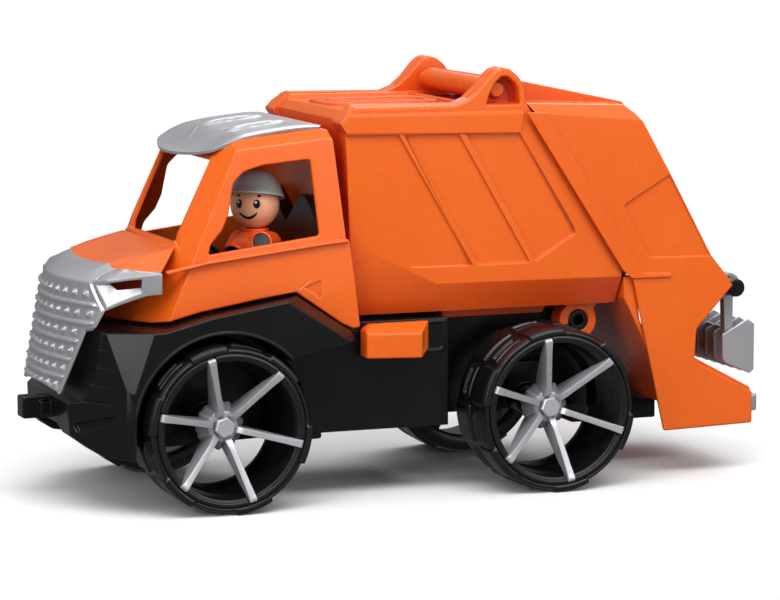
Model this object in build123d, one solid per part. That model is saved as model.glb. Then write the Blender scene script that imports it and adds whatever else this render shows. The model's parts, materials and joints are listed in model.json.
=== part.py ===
from build123d import *
import math
import os

# Toy refuse-collection truck. Millimetres, +X forward, +Y to the truck's left, +Z up.
# The origin is the middle of the footprint, on the floor.

# ---------------------------------------------------------------- driving dimensions
SIDES = (1, -1)                   # left, right
WALL = 2.6                        # moulding wall
CHASSIS_WALL = 3.0

TYRE_R = 45.0                     # over the tread blocks
TYRE_BASE_R = 43.8                # between the tread blocks
TYRE_IN, TYRE_OUT = 45.0, 86.0    # tyre faces, from the centre plane
WHEEL_OUT = 87.2                  # outermost face of the spoke tips
SPOKES = 6
SPOKE_PITCH = 360 / SPOKES
REAR_X, FRONT_X = -71.75, 114.25  # axles
AXLE_R = 2.5
AXLE_HALF = 67.9                  # half length of an axle rod
HUB_BORE_R = AXLE_R + 0.05
HUB_SOCKET_R = 5.1                # socket for the hub cap's plug
HUB_SOCKET_Y = 66.2               # floor of that socket
# name, axle, side, resting angle of the first spoke from +X towards +Z
WHEELS = [("wheel_front_left", FRONT_X, 1, 73.3), ("wheel_front_right", FRONT_X, -1, 41.0),
          ("wheel_rear_left", REAR_X, 1, 79.6), ("wheel_rear_right", REAR_X, -1, 97.0)]

TIP_X, TIP_Z = -101.25, 87.2      # axis the refuse body tips about
TIP_SHAFT_R = 5.75
TIP_BORE_R = TIP_SHAFT_R + 0.07
TIP_CLIP_R = 11.0
GATE_X, GATE_Z = -47.75, 216.5    # axis the tailgate hangs from
PIN_R = 2.5
PIN_BORE_R = PIN_R + 0.06
BARREL_R = 6.3                    # tailgate hinge barrel
ROD_X, ROD_Z = -190.0, 103.0      # bin lifter rod
ROD_R = 5.0
ROD_BORE_R = ROD_R + 0.06

CAB_HALF = 63.0                   # half widths
BODY_HALF = 60.0
GATE_HALF = 63.0
FENDER_HALF = 77.0
SPINE_HALF = 29.5
RIB_DEPTH = 1.7                   # relief of the ribs on the refuse body's sides
ARCH_R = 49.4                     # front wheel arch
ROOF_T = 1.7                      # roof panel thickness
SCREW_SPOTS = [(74.0, 22.0), (74.0, -22.0), (140.0, 20.0), (140.0, -20.0)]

HEAD_X, HEAD_Y, HEAD_Z = 81.5, 28.0, 156.9   # middle of the driver's head
HEAD_R = 13.2
TURN = 53.0                       # resting turn of the driver towards the left window
PEG_R = 5.0                       # peg the driver turns on
PEG_BORE_R = PEG_R + 0.06

# Top line of the roof panel, from the back forwards: (x, z)
ROOF_LINE = [(49.0, 199.4), (53.0, 200.3), (70.0, 199.6), (95.4, 196.1), (102.6, 193.3),
             (110.0, 188.6), (116.0, 186.4), (124.0, 184.6)]


# ---------------------------------------------------------------- helpers
def poly_face(points):
    return Face(Wire.make_polygon([Vector(*p) for p in points], close=True))


def prism_y(points, y0, y1):
    """Side profile (x, z) swept across the truck from y0 to y1."""
    return Solid.extrude(poly_face([(x, y0, z) for x, z in points]), Vector(0, y1 - y0, 0))


def prism_x(points, x0, x1):
    """Cross-section (y, z) swept along the truck from x0 to x1."""
    return Solid.extrude(poly_face([(x0, y, z) for y, z in points]), Vector(x1 - x0, 0, 0))


def prism_z(points, z0, z1):
    """Plan (x, y) swept upwards from z0 to z1."""
    return Solid.extrude(poly_face([(x, y, z0) for x, y in points]), Vector(0, 0, z1 - z0))


def inset_prism(outline, inset, half_width):
    """Side profile (x, z) swept over the full width, with every face moved in by the inset."""
    face = poly_face([(x, 0, z) for x, z in outline])
    if inset:
        face = Face(face.outer_wire().offset_2d(-inset, kind=Kind.INTERSECTION))
    half = half_width - inset
    return Solid.extrude(face, Vector(0, 2 * half, 0)).moved(Location((0, -half, 0)))


def block(x0, x1, y0, y1, z0, z1):
    middle = Pos((x0 + x1) / 2, (y0 + y1) / 2, (z0 + z1) / 2)
    return middle * Box(abs(x1 - x0), abs(y1 - y0), abs(z1 - z0))


def upright(radius, length):
    """Cylinder standing on its plane."""
    return Cylinder(radius, length, align=(Align.CENTER, Align.CENTER, Align.MIN))


def rod_y(x, z, radius, y0, y1):
    return Plane(origin=(x, y0, z), z_dir=(0, 1, 0)) * upright(radius, y1 - y0)


def rod_z(x, y, radius, z0, z1):
    return Pos(x, y, z0) * upright(radius, z1 - z0)


def bevelled_rod(x, z, radius, half, bevel):
    return chamfer(rod_y(x, z, radius, -half, half).edges(), bevel)


def ring_y(points):
    """Body of revolution about Y from a (radius, y) outline."""
    face = poly_face([(r, y, 0) for r, y in points])
    return Solid.revolve(face, 360, Axis((0, 0, 0), (0, 1, 0)))


def ring_z(points, x=0.0, y=0.0):
    """Body of revolution about an upright axis from a (radius, z) outline."""
    face = poly_face([(x + r, y, z) for r, z in points])
    return Solid.revolve(face, 360, Axis((x, y, 0), (0, 0, 1)))


def span(side, inner, outer):
    """The y range between two distances from the centre plane, on one side."""
    return (inner, outer) if side > 0 else (-outer, -inner)


def on_side(shape, side):
    """A shape modelled on the left, mirrored if it belongs on the right."""
    return shape if side > 0 else mirror(shape, about=Plane.XZ)


def symmetric(half):
    """Plan outline completed by its own mirror image in y."""
    return half + [(x, -y) for x, y in reversed(half) if y != 0]


def band_along(line, above, below):
    """Closed (x, z) band lying along a line."""
    return [(x, z + above) for x, z in line] + [(x, z - below) for x, z in reversed(line)]


def strip_outline(start, end, width, overrun=0.0):
    """Straight strip between two points, run past both ends by the overrun."""
    (x0, z0), (x1, z1) = start, end
    length = math.hypot(x1 - x0, z1 - z0)
    along_x, along_z = (x1 - x0) / length, (z1 - z0) / length
    off_x, off_z = -along_z * width / 2, along_x * width / 2
    x0, z0 = x0 - along_x * overrun, z0 - along_z * overrun
    x1, z1 = x1 + along_x * overrun, z1 + along_z * overrun
    return [(x0 + off_x, z0 + off_z), (x1 + off_x, z1 + off_z),
            (x1 - off_x, z1 - off_z), (x0 - off_x, z0 - off_z)]


def beyond(point, normal, size=900.0):
    """Large block filling the side of a plane its normal points to."""
    corner_align = (Align.CENTER, Align.CENTER, Align.MIN)
    return Plane(origin=point, z_dir=normal) * Box(size, size, size, align=corner_align)


def outside_of(a, b, c, outward, inset=0.0):
    """Large block on the outward side of the plane through three points."""
    normal = (Vector(*b) - Vector(*a)).cross(Vector(*c) - Vector(*a)).normalized()
    if normal.dot(Vector(*outward)) < 0:
        normal = normal * -1
    return beyond(tuple(Vector(*a) - normal * inset), tuple(normal))


def shave(shape, a, b, c, outward, inset=0.0, both_sides=True):
    """Cut the shape with the plane through three points, and with its mirror image."""
    tool = outside_of(a, b, c, outward, inset)
    shape = shape - tool
    if both_sides:
        shape = shape - mirror(tool, about=Plane.XZ)
    return shape


def one(shape):
    """The single largest solid of a result."""
    solids = shape.solids()
    return max(solids, key=lambda solid: solid.volume) if len(solids) > 1 else solids[0]


def save(name, shape):
    export_step(shape, f"parts/{name}.step")


# ---------------------------------------------------------------- wheels
# Each is modelled as a left wheel about the Y axis, then moved to its axle.
def around_y(shape, angle):
    """Turn a wheel feature about the wheel axis; positive from +X towards +Z."""
    return shape.rotate(Axis((0, 0, 0), (0, 1, 0)), -angle)


def sector_y(r0, r1, y0, y1, angle0, angle1):
    """Annular sector about Y between two angles."""
    full = ring_y([(r0, y0), (r1, y0), (r1, y1), (r0, y1)])
    half = math.radians((angle1 - angle0) / 2)
    far = r1 * 1.6
    far_x, far_z = far * math.cos(half), far * math.sin(half)
    wedge = prism_y([(0, 0), (far_x, far_z), (far * 1.05, 0), (far_x, -far_z)], y0 - 1, y1 + 1)
    return one(full & around_y(wedge, (angle0 + angle1) / 2))


# (radius, y) section of the tyre
TYRE_SECTION = [
    (34.0, TYRE_IN), (41.4, TYRE_IN), (43.2, TYRE_IN + 1.4), (TYRE_BASE_R, TYRE_IN + 4.5),
    (TYRE_BASE_R, 81.5), (43.2, 83.6), (42.2, 84.6), (40.6, 84.6), (40.2, TYRE_OUT),
    (38.3, TYRE_OUT), (37.9, 84.9), (36.9, 84.9), (36.4, 82.0), (35.9, 79.0), (35.4, 64.0),
    (34.6, 62.5), (34.0, 58.0)]
# inner and outer radius, y range, angle range from each spoke
TREAD_BLOCKS = [
    (40.0, 44.4, 80.0, TYRE_OUT, -13.5, 13.5),
    (42.6, TYRE_R, 68.5, 84.4, -13.5, 13.5),
    (42.6, TYRE_R, 48.0, 65.5, 16.5, 43.5),
    (42.6, 44.5, 70.5, 80.0, 18.0, 42.0),
    (42.6, 44.5, 51.0, 63.0, -11.5, 11.5)]
TREAD_SLOTS = [(43.2, 46.0, 73.5, 77.0, 20.5, 39.5), (43.2, 46.0, 55.5, 58.5, -9.5, 9.5)]


def make_tyre(phase):
    angles = [phase + SPOKE_PITCH * k for k in range(SPOKES)]
    tyre = ring_y(TYRE_SECTION)
    for angle in angles:
        for *ring, start, end in TREAD_BLOCKS:
            tyre = tyre + sector_y(*ring, angle + start, angle + end)
    for angle in angles:
        for *ring, start, end in TREAD_SLOTS:
            tyre = tyre - sector_y(*ring, angle + start, angle + end)
        # notch that takes the spoke tip
        tyre = tyre - around_y(block(33.0, 40.4, 80.4, 90.0, -2.35, 2.35), angle)
    return one(tyre)


def make_rim(phase):
    rim = ring_y([
        (HUB_BORE_R, 44.6), (6.0, 44.6), (6.6, 60.0), (7.2, 63.0), (12.6, 63.0), (13.2, 64.2),
        (8.6, 69.4), (7.0, 70.2), (HUB_SOCKET_R, 70.2), (HUB_SOCKET_R, HUB_SOCKET_Y),
        (HUB_BORE_R, HUB_SOCKET_Y)])
    flutes = 18
    for k in range(flutes):
        flute = prism_y([(9.2, 0), (14.2, 0.9), (14.2, -0.9)], 64.5, 71.0)
        rim = rim - around_y(flute, phase + 360 / flutes * (k + 0.5))
    # (radius, y) outline of a spoke
    spoke_outline = [
        (6.2, 60.5), (13.0, 61.5), (22.0, 68.5), (31.0, 76.2), (35.4, 80.9), (40.0, 82.6),
        (40.0, 86.4), (39.2, WHEEL_OUT), (37.0, WHEEL_OUT - 0.2), (10.0, 75.6), (7.4, 74.2),
        (6.2, 72.0)]
    spoke_width = 4.2
    face = poly_face([(r, y, -spoke_width / 2) for r, y in spoke_outline])
    spoke = Solid.extrude(face, Vector(0, 0, spoke_width))
    for k in range(SPOKES):
        rim = rim + around_y(spoke, phase + SPOKE_PITCH * k)
    return one(rim - rod_y(0, 0, HUB_SOCKET_R, HUB_SOCKET_Y, 80.0))


def make_hub_cap(phase):
    corner_r, seat_y = 5.75, 70.25
    turns = [math.radians(60 * k) for k in range(6)]
    hexagon = [(corner_r * math.cos(turn), corner_r * math.sin(turn)) for turn in turns]
    cap = prism_y(hexagon, seat_y, 74.6)
    cap = chamfer(cap.faces().sort_by(Axis.Y)[-1].edges(), 0.6)
    plug = ring_y([(3.0, 68.3), (5.0, 68.3), (5.0, seat_y), (3.0, seat_y)])
    return one(around_y(cap, phase + 30) + plug)


def make_push_nuts():
    """Caps pressed on the four axle ends."""
    bore = AXLE_R + 0.02
    nut = ring_y([(bore, AXLE_HALF - 1.4), (4.4, AXLE_HALF - 1.4), (4.4, AXLE_HALF - 0.8),
                  (3.4, AXLE_HALF), (bore, AXLE_HALF)])
    return Compound(children=[Pos(x, 0, TYRE_R) * on_side(nut, side)
                              for x in (FRONT_X, REAR_X) for side in SIDES])


# ---------------------------------------------------------------- grille surface
GRILLE_TOP, GRILLE_BOTTOM = 121.3, 61.0
GRILLE_WIDEST = 97.0              # height at which the grille is widest


def grille_x(y, z):
    """Front surface of the grille: bowed in plan and jutting forward towards its lower edge."""
    drop = (GRILLE_TOP - z) / (GRILLE_TOP - GRILLE_BOTTOM)
    half = 44.0 - 10.0 * drop
    centre = 186.6 + 9.6 * drop
    edge = 177.6 + 14.6 * drop
    return centre - (centre - edge) * (y / half) ** 2


def grille_half(z):
    """Half width of the grille at a height."""
    if z > GRILLE_WIDEST:
        return 44.0 + 2.0 * (GRILLE_TOP - z) / (GRILLE_TOP - GRILLE_WIDEST)
    drop = (GRILLE_WIDEST - z) / (GRILLE_WIDEST - GRILLE_BOTTOM)
    return 46.0 - 12.0 * drop ** 1.25


def grille_slab(heights, back, front_off=0.0, half_off=0.0):
    """Bowed slab between the grille's front surface and the same surface moved back."""
    wires = []
    for z in heights:
        half = grille_half(z) + half_off
        stations = [half * share for share in (-1, -0.66, -0.33, 0.0, 0.33, 0.66, 1)]
        front = [(grille_x(y, z) + front_off, y, z) for y in stations]
        rear = [(grille_x(y, z) - back, y, z) for y in reversed(stations)]
        wires.append(Wire.make_polygon([Vector(*p) for p in front + rear], close=True))
    return Solid.make_loft(wires, True)


# ---------------------------------------------------------------- cab volume
CAB_SIDE = [  # (x, z), along the bottom, up the nose and back over the roof
    (34.4, 92.6), (38.6, 92.0), (44.8, 94.9), (70.6, 112.9), (90.2, 110.1), (123.8, 104.5),
    (146.8, 98.7), (176.8, 97.8), (174.6, 117.5), (172.6, 127.6), (154.0, 132.6), (132.4, 137.2),
    (110.6, 184.6), (108.8, 187.0), (102.0, 191.8), (95.2, 194.4), (70.0, 197.9), (52.8, 198.6),
    (48.3, 197.4), (42.0, 140.2), (39.8, 139.2)]
# Facets: three points of the plane, then a direction pointing out of the cab
CAB_SIDE_FACETS = [
    # side leaning in above the belt line
    ((42.0, 61.2, 140.0), (126.0, 60.4, 131.5), (52.0, 56.8, 198.5), (0, 1, 0.05)),
    # front quarter below the belt
    ((143.5, 63.0, 126.0), (143.5, 63.0, 98.0), (176.5, 50.0, 98.0), (0.4, 1, 0)),
    ((172.0, 53.0, 98.0), (172.0, 53.0, 126.0), (182.0, 40.0, 98.0), (1, 0.8, 0))]
CAB_TOP_FACETS = [
    # front of the bonnet
    ((186.0, 0.0, 100.0), (186.0, 0.0, 120.0), (172.6, 45.0, 110.0), (1, 0.3, 0)),
    # windscreen pillar, facing the front corner
    ((102.6, 57.2, 186.0), (108.8, 45.0, 185.5), (131.8, 45.0, 137.0), (1, 0.4, 0.4)),
    # roof corner
    ((52.0, 57.0, 193.6), (98.0, 57.0, 188.8), (52.0, 50.0, 198.6), (0, 1, 1))]


def cab_volume(inset):
    """Solid cab with every face moved in by the inset."""
    body = inset_prism(CAB_SIDE, inset, CAB_HALF)
    for facet in CAB_SIDE_FACETS:
        body = shave(body, *facet, inset)
    # side of the bonnet, in front of the windscreen pillar only
    tool = outside_of((132.4, 45.5, 137.2), (160.0, 40.0, 130.6), (143.5, 60.5, 126.4),
                      (0, 0, 1), inset)
    tool = tool & beyond((130.2 - inset, 60.0, 130.0), (0.96, 0.13, 0.26))
    body = body - tool - mirror(tool, about=Plane.XZ)
    for facet in CAB_TOP_FACETS:
        body = shave(body, *facet, inset)
    return body


# ---------------------------------------------------------------- chassis
def cavity(x0, x1, half, bottom, top):
    """Hollow leaving a chassis wall on the sides, the ends and the top."""
    wall = CHASSIS_WALL
    return block(x0 + wall, x1 - wall, -half + wall, half - wall, bottom, top - wall)


def make_spine():
    spine = block(-113.0, 150.0, -SPINE_HALF, SPINE_HALF, 38.0, 84.0)
    spine = spine - cavity(-113.0, 150.0, SPINE_HALF, 30.0, 84.0)
    spine = spine + block(-88.0, -20.0, -SPINE_HALF, SPINE_HALF, 80.0, 95.0)
    spine = spine - cavity(-88.0, -20.0, SPINE_HALF, 70.0, 95.0)
    # cheeks carrying the tipping shaft
    cheek_r = 9.2
    left, right = TIP_X - cheek_r, TIP_X + cheek_r
    for side in SIDES:
        cheek = span(side, SPINE_HALF - 6, SPINE_HALF)
        spine = spine + rod_y(TIP_X, TIP_Z, cheek_r, *cheek)
        spine = spine + prism_y([(left, 80.0), (right, 80.0), (right, TIP_Z), (left, TIP_Z)],
                                *cheek)
        spine = spine + prism_y([(TIP_X, 80.0), (-84.0, 80.0), (-84.0, 94.5),
                                 (TIP_X + 2.0, TIP_Z + 8.9)], *cheek)
    return spine


def make_middle():
    """Section between the wheels, with the deck the refuse body rests on."""
    middle = block(-17.5, 61.0, -60.0, 60.0, 36.5, 95.0)
    middle = middle - block(-14.5, 58.0, -57.2, 57.2, 30.0, 92.0)
    # low frame on the side face, by the rear end of the side box
    frame = prism_y([(-15.5, 79.5), (-13.0, 77.0), (1.5, 77.0), (1.5, 94.0), (-15.5, 94.0)],
                    59.5, 61.2)
    frame = frame - prism_y([(-14.0, 80.0), (-12.4, 78.5), (0.0, 78.5), (0.0, 92.5),
                             (-14.0, 92.5)], 60.2, 62.0)
    for side in SIDES:
        middle = middle + on_side(frame, side)
    return middle


def cut_wheel_arches(front):
    for side in SIDES:
        depth = span(side, 41.5, 95.0)
        front = front - rod_y(FRONT_X, TYRE_R, ARCH_R, *depth)
        below = [(FRONT_X - ARCH_R, 10.0), (FRONT_X + ARCH_R, 10.0),
                 (FRONT_X + ARCH_R, TYRE_R), (FRONT_X - ARCH_R, TYRE_R)]
        front = front - prism_y(below, *depth)
    # raised lip round the arch
    for side in SIDES:
        y0, y1 = span(side, FENDER_HALF - 1, FENDER_HALF + 1)
        lip = rod_y(FRONT_X, TYRE_R, ARCH_R + 1.6, y0, y1)
        lip = lip - rod_y(FRONT_X, TYRE_R, ARCH_R, y0 - 1, y1 + 1)
        lip = lip - block(FRONT_X - 80, FRONT_X + 80, -90, 90, -20, 54.0)
        behind = [(78.0, 80.2), (30.0, 90.6), (30.0, 20.0), (90.0, 20.0), (84.0, 60.0)]
        lip = lip - prism_y(behind, y0 - 1, y1 + 1)
        front = front + lip
    return front


def cut_louvres(front):
    """Louvres and a slanted slot between the grille and the mudguard corner."""
    normal = Vector(38.0, 24.0, 0).normalized()
    slot_outline = [(-14.5, -2.6), (12.0, 3.6), (15.5, 3.6), (12.0, 0.6), (-6.0, -5.6),
                    (-12.0, -6.6)]

    def corner_plane(z):
        return Plane(origin=(180.2, 55.2, z), x_dir=(-normal.Y, normal.X, 0),
                     z_dir=tuple(normal))

    for side in SIDES:
        for z in (88.0, 78.5, 69.0, 59.5):
            front = front - on_side(corner_plane(z) * Box(23.0, 1.5, 3.4), side)
        slot_face = make_face(Polyline(*slot_outline, close=True))
        slot = corner_plane(49.0) * extrude(slot_face, amount=8, both=True)
        slot = slot & beyond((178.0, 54.0, 49.0), tuple(normal))
        front = front - on_side(slot, side)
    return front


def make_front():
    """Mudguards, bumper and sill as one shell."""
    front = prism_y([
        (56.0, 33.6), (56.0, 60.0), (45.0, 84.0), (34.8, 90.4), (38.4, 90.9), (44.8, 93.7),
        (70.6, 111.6), (90.0, 108.8), (123.6, 103.2), (146.6, 97.4), (176.5, 96.4),
        (178.5, 75.0), (184.0, 58.6), (190.0, 57.2), (189.0, 40.0), (178.0, 31.8),
        (164.0, 29.8)], -FENDER_HALF, FENDER_HALF)
    nose_plan = symmetric([(30.0, -FENDER_HALF), (164.0, -FENDER_HALF), (168.0, -74.0),
                           (192.0, -36.0), (196.0, -20.0), (197.0, 0.0)])
    front = front & prism_z(nose_plan, 0, 130)
    # leaning front corner of the mudguard
    front = shave(front, (152.0, 77.0, 99.4), (166.0, 77.0, 60.0), (176.0, 62.0, 96.4), (1, 1, 0))
    # sloping shelf from the mudguard's outer edge up to the cab
    front = shave(front, (80.4, 77.0, 110.2), (150.8, 77.0, 99.2), (85.0, 63.0, 110.6),
                  (0, 0.2, 1))
    front = shave(front, (80.4, 77.0, 110.2), (44.2, 77.0, 87.1), (60.0, 63.0, 105.2),
                  (-0.3, 0.3, 1))
    # behind the mudguard the side falls back to the sill
    fall = prism_y([(77.0, 80.0), (30.0, 90.4), (30.0, 20.0), (90.0, 20.0), (84.0, 60.0)],
                   61.0, 90.0)
    for side in SIDES:
        front = front - on_side(fall, side)
    for side in SIDES:
        front = front - block(20.0, 41.0, *span(side, 60.4, 90.0), 20.0, 130.0)
    front = cut_wheel_arches(front)
    # hollow inside
    front = front - prism_y([
        (64.0, 30.0), (64.0, 62.0), (52.0, 82.0), (48.0, 91.5), (71.5, 107.6), (90.0, 105.2),
        (122.0, 99.8), (146.0, 94.0), (172.0, 93.0), (174.0, 74.0), (179.0, 57.0), (185.0, 54.0),
        (184.5, 42.0), (176.0, 34.5), (170.0, 30.0)], -38.5, 38.5)
    side_hollow = prism_y([
        (167.5, 30.0), (171.0, 34.5), (176.0, 42.0), (173.0, 56.0), (169.5, 74.0), (168.0, 92.5),
        (150.0, 93.5), (162.0, 70.0)], 38.0, 58.0)
    front = front - side_hollow - mirror(side_hollow, about=Plane.XZ)
    front = cut_louvres(front)
    # scooped lower edge at the middle of the bumper
    front = front - prism_x([(-34.0, 20.0), (-30.0, 38.0), (-16.0, 43.0), (16.0, 43.0),
                             (30.0, 38.0), (34.0, 20.0)], 160.0, 210.0)
    # seat for the grille panel
    return front - grille_slab([126.0, GRILLE_WIDEST, 80.0, 70.0, 60.9], 4.02,
                               front_off=14.0, half_off=0.15)


def make_towing_block():
    tow = block(186.0, 204.8, -6.0, 6.0, 44.6, 56.2)
    tow = fillet(tow.edges().filter_by(Axis.Y), 1.2)
    tow = tow + block(180.0, 196.0, -9.0, 9.0, 46.0, 54.0)
    return tow - rod_z(200.0, 0.0, 2.2, 40.0, 60.0)


def make_chassis():
    chassis = make_spine() + make_middle()
    # axle carriers
    for x in (FRONT_X, REAR_X):
        chassis = chassis + rod_y(x, TYRE_R, 8.0, -44.0, 44.0)
        for side in SIDES:
            web = [(x - 8, TYRE_R), (x + 8, TYRE_R), (x + 13, 66.0), (x - 13, 66.0)]
            chassis = chassis + prism_y(web, *span(side, 24.0, 40.0))
    chassis = chassis + make_front()
    chassis = chassis + make_towing_block()
    # rear tongue under the hopper, and the wall joining it to the spine
    tongue = block(-160.0, -108.0, -20.0, 20.0, 26.0, 37.0)
    tongue = tongue - cavity(-160.0, -108.0, 20.0, 20.0, 37.0)
    chassis = chassis + tongue + block(-113.0, -106.0, -20.0, 20.0, 30.0, 44.0)
    for x in (FRONT_X, REAR_X):
        chassis = chassis - rod_y(x, TYRE_R, AXLE_R + 0.02, -60, 60)
    chassis = chassis - rod_y(TIP_X, TIP_Z, TIP_SHAFT_R + 0.02, -60, 60)
    # screw bosses under the cab
    for x, y in SCREW_SPOTS:
        chassis = chassis + rod_z(x, y, 4.5, 60.0, 83.0)
        chassis = chassis - rod_z(x, y, 1.6, 50.0, 90.0)
    # room for the cab, with a small clearance
    return one(chassis - cab_volume(-0.12))


def make_tipping_shaft():
    shaft = bevelled_rod(TIP_X, TIP_Z, TIP_SHAFT_R, 44.0, 0.6)
    return shaft - rod_y(TIP_X, TIP_Z, 3.0, -50, 50)


# ---------------------------------------------------------------- cab
SIDE_WINDOW = [  # (x, z)
    (56.6, 142.4), (60.6, 182.6), (87.0, 180.2), (97.6, 177.2), (103.4, 171.6), (106.6, 155.0),
    (110.2, 147.2), (116.8, 139.8), (118.2, 134.6)]
DOOR_LINES = [  # start and end (x, z) of the grooves in the cab side
    ((120.4, 129.0), (125.6, 107.0)),
    ((52.0, 136.0), (50.4, 129.5)),
    ((50.4, 129.5), (68.5, 114.8))]
BELT = [  # (x, z)
    (41.2, 138.2), (41.4, 140.0), (52.0, 139.4), (120.0, 131.6), (142.6, 127.2), (142.0, 125.2),
    (119.6, 129.6), (52.0, 137.4)]


def make_cab_shell():
    core = cab_volume(WALL)
    cab = cab_volume(0) - core
    # open the underside by stepping the core downwards
    for drop in (2.5, 5.0, 7.5):
        cab = cab - core.moved(Location((0, 0, -drop)))
    cab = cab - prism_y(SIDE_WINDOW, -80, 80)
    # windscreen opening
    cab = cab - prism_x([(-39.5, 139.6), (39.5, 139.6), (42.0, 182.4), (-42.0, 182.4)],
                        103.0, 150.0)
    face_y, groove_depth = 62.9, 0.7
    for side in SIDES:
        for start, end in DOOR_LINES:
            cab = cab - prism_y(strip_outline(start, end, 0.9),
                                *span(side, face_y - groove_depth, face_y + 5))
        triangle = prism_y([(56.5, 119.0), (66.0, 115.4), (56.5, 108.6)], 61.9, 70.0)
        cab = cab - on_side(triangle, side)
    # belt moulding under the windows, trimmed by the front quarter facet
    belt = prism_y(BELT, -63.7, 63.7) - block(0, 200, -60.5, 60.5, 80, 180)
    belt = shave(belt, (143.0, 63.7, 126.0), (143.0, 63.7, 98.0), (176.5, 50.7, 98.0),
                 (0.4, 1, 0))
    cab = cab + belt
    # seat for the grille panel
    cab = cab - grille_slab([140.0, 121.0, GRILLE_WIDEST, 90.0], 4.05,
                            front_off=30.0, half_off=6.0)
    cab = one(cab)
    # the roof is cut back so that the roof panel lies on it
    under_panel = [(x, z - ROOF_T) for x, z in ROOF_LINE]
    roof_cut = [(44.0, 197.6)] + under_panel + [(126.0, 182.4), (126.0, 215.0), (44.0, 215.0)]
    return one(cab - prism_y(roof_cut, -50.65, 50.65))


def make_roof_panel():
    plan = symmetric([
        (50.0, -48.0), (56.0, -50.0), (98.0, -50.6), (106.0, -50.6), (110.4, -49.0),
        (114.0, -40.0), (118.4, -27.0), (121.0, -14.0), (122.0, 0.0)])
    roof = prism_y(band_along(ROOF_LINE, 0, ROOF_T), -60, 60) & prism_z(plan, 150, 230)
    # a raised lozenge on each side
    lozenge_plan = [(62.0, 18.0), (66.0, 22.0), (92.0, 26.0), (96.0, 22.0), (92.0, 17.0),
                    (66.0, 14.0)]
    for side in SIDES:
        lozenge = prism_z([(x, side * y) for x, y in lozenge_plan], 150, 230)
        roof = roof + (lozenge & prism_y(band_along(ROOF_LINE, 0.9, 0.5), -60, 60))
    return one(roof)


# ---------------------------------------------------------------- grille panel
BAR_PITCH = 10.0
BAR_HEIGHTS = [112.5 - BAR_PITCH * k for k in range(5)]
STUDS_PER_ROW = 9


def make_grille_panel(cab):
    """Grille with the bonnet band above it and the headlamp surrounds."""
    grille = grille_slab([GRILLE_TOP, 112.0, 104.0, GRILLE_WIDEST, 88.0, 79.0, 70.0,
                          GRILLE_BOTTOM], 3.95)
    # bonnet band above the grille
    band = prism_y([
        (150.0, 134.6), (172.0, 131.3), (176.0, 129.6), (187.0, 121.8), (187.0, 119.5),
        (176.0, 119.5), (173.0, 127.9), (150.0, 133.0)], -60, 60)
    band_plan = symmetric([
        (172.5, 0.0), (171.4, 12.0), (168.2, 24.0), (162.0, 36.0), (154.0, 44.0), (170.0, 48.0),
        (177.6, 44.0), (182.4, 29.0), (185.6, 14.5), (186.6, 0.0)])
    band = band & prism_z(band_plan, 100, 150)
    band = shave(band, (133.0, 46.5, 138.6), (160.0, 42.0, 132.0), (145.0, 61.5, 127.9),
                 (0, 0.7, 1))
    grille = grille + band
    # headlamp arms running back along the cab sides
    arm_plan = [(143.6, 61.4), (143.6, 64.6), (146.0, 64.4), (172.0, 54.6), (178.6, 44.6),
                (173.6, 43.0), (170.0, 51.2)]
    arm_side = [(143.6, 116.6), (143.6, 127.4), (160.0, 125.6), (179.0, 121.3), (179.0, 104.0),
                (171.6, 107.6), (154.0, 114.8)]
    lamp_hole = [(152.5, 117.4), (153.0, 121.6), (172.5, 119.2), (166.0, 116.4)]
    for side in SIDES:
        arm = prism_z([(x, side * y) for x, y in arm_plan], 90, 140)
        arm = arm & prism_y(arm_side, -70, 70)
        grille = grille + (arm - prism_y(lamp_hole, -70, 70))
    for z in BAR_HEIGHTS:
        grille = grille + grille_slab([z + 1.3, z - 1.3], 1.0, front_off=1.1, half_off=-3.0)
    # a row of studs below each bar
    for bar_z in BAR_HEIGHTS:
        z = bar_z - BAR_PITCH / 2
        half = grille_half(z) - 6.0
        for k in range(STUDS_PER_ROW):
            y = -half + 2 * half * k / (STUDS_PER_ROW - 1)
            stud = Cone(1.7, 0.35, 2.2, align=(Align.CENTER, Align.CENTER, Align.MIN))
            foot = Plane(origin=(grille_x(y, z) - 0.6, y, z), z_dir=(1, 0, 0))
            grille = grille + foot * stud
    return one(grille) - cab


# ---------------------------------------------------------------- cab interior
def make_seat_unit(cab_room):
    seat = block(47.0, 112.0, -55.0, 55.0, 113.5, 117.0)
    # (distance from the centre plane, z)
    seat_back = [(0.0, 116.0), (0.0, 144.5), (10.0, 151.5), (17.0, 157.0), (23.0, 160.4),
                 (28.0, 161.2), (33.0, 160.4), (39.0, 157.0), (46.0, 151.0), (53.0, 143.0),
                 (53.0, 116.0)]
    for side in SIDES:
        back = prism_x([(side * y, z) for y, z in seat_back], 48.2, 54.4)
        cushion = block(54.0, 95.0, *span(side, 10.0, 46.0), 116.0, 123.0)
        seat = seat + back + cushion
    seat = seat - rod_z(HEAD_X, HEAD_Y, PEG_BORE_R, 114.6, 124.0)
    return one(seat & cab_room)


def make_dashboard(cab_room):
    dash = prism_y([(113.0, 113.6), (127.0, 113.6), (150.0, 120.0), (146.0, 129.6),
                    (130.5, 134.0), (119.0, 133.4), (113.0, 127.0)], -50.0, 50.0)
    dash = shave(dash, (130.0, 45.0, 128.0), (150.0, 38.0, 126.0), (143.5, 54.0, 118.0),
                 (0, 0.7, 1))
    dash = one(dash & cab_room)
    return one(dash - prism_y([
        (116.0, 110.0), (128.0, 110.0), (145.0, 119.4), (142.4, 127.6), (130.0, 130.8),
        (120.4, 130.4), (116.0, 126.0)], -40.0, 40.0))


def make_dashboard_trim(cab_room, dash):
    outline = [(123.6, 133.66), (127.6, 133.86), (127.6, 135.1), (124.2, 134.9)]
    return one((prism_y(outline, -37.0, 37.0) & cab_room) - dash)


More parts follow.
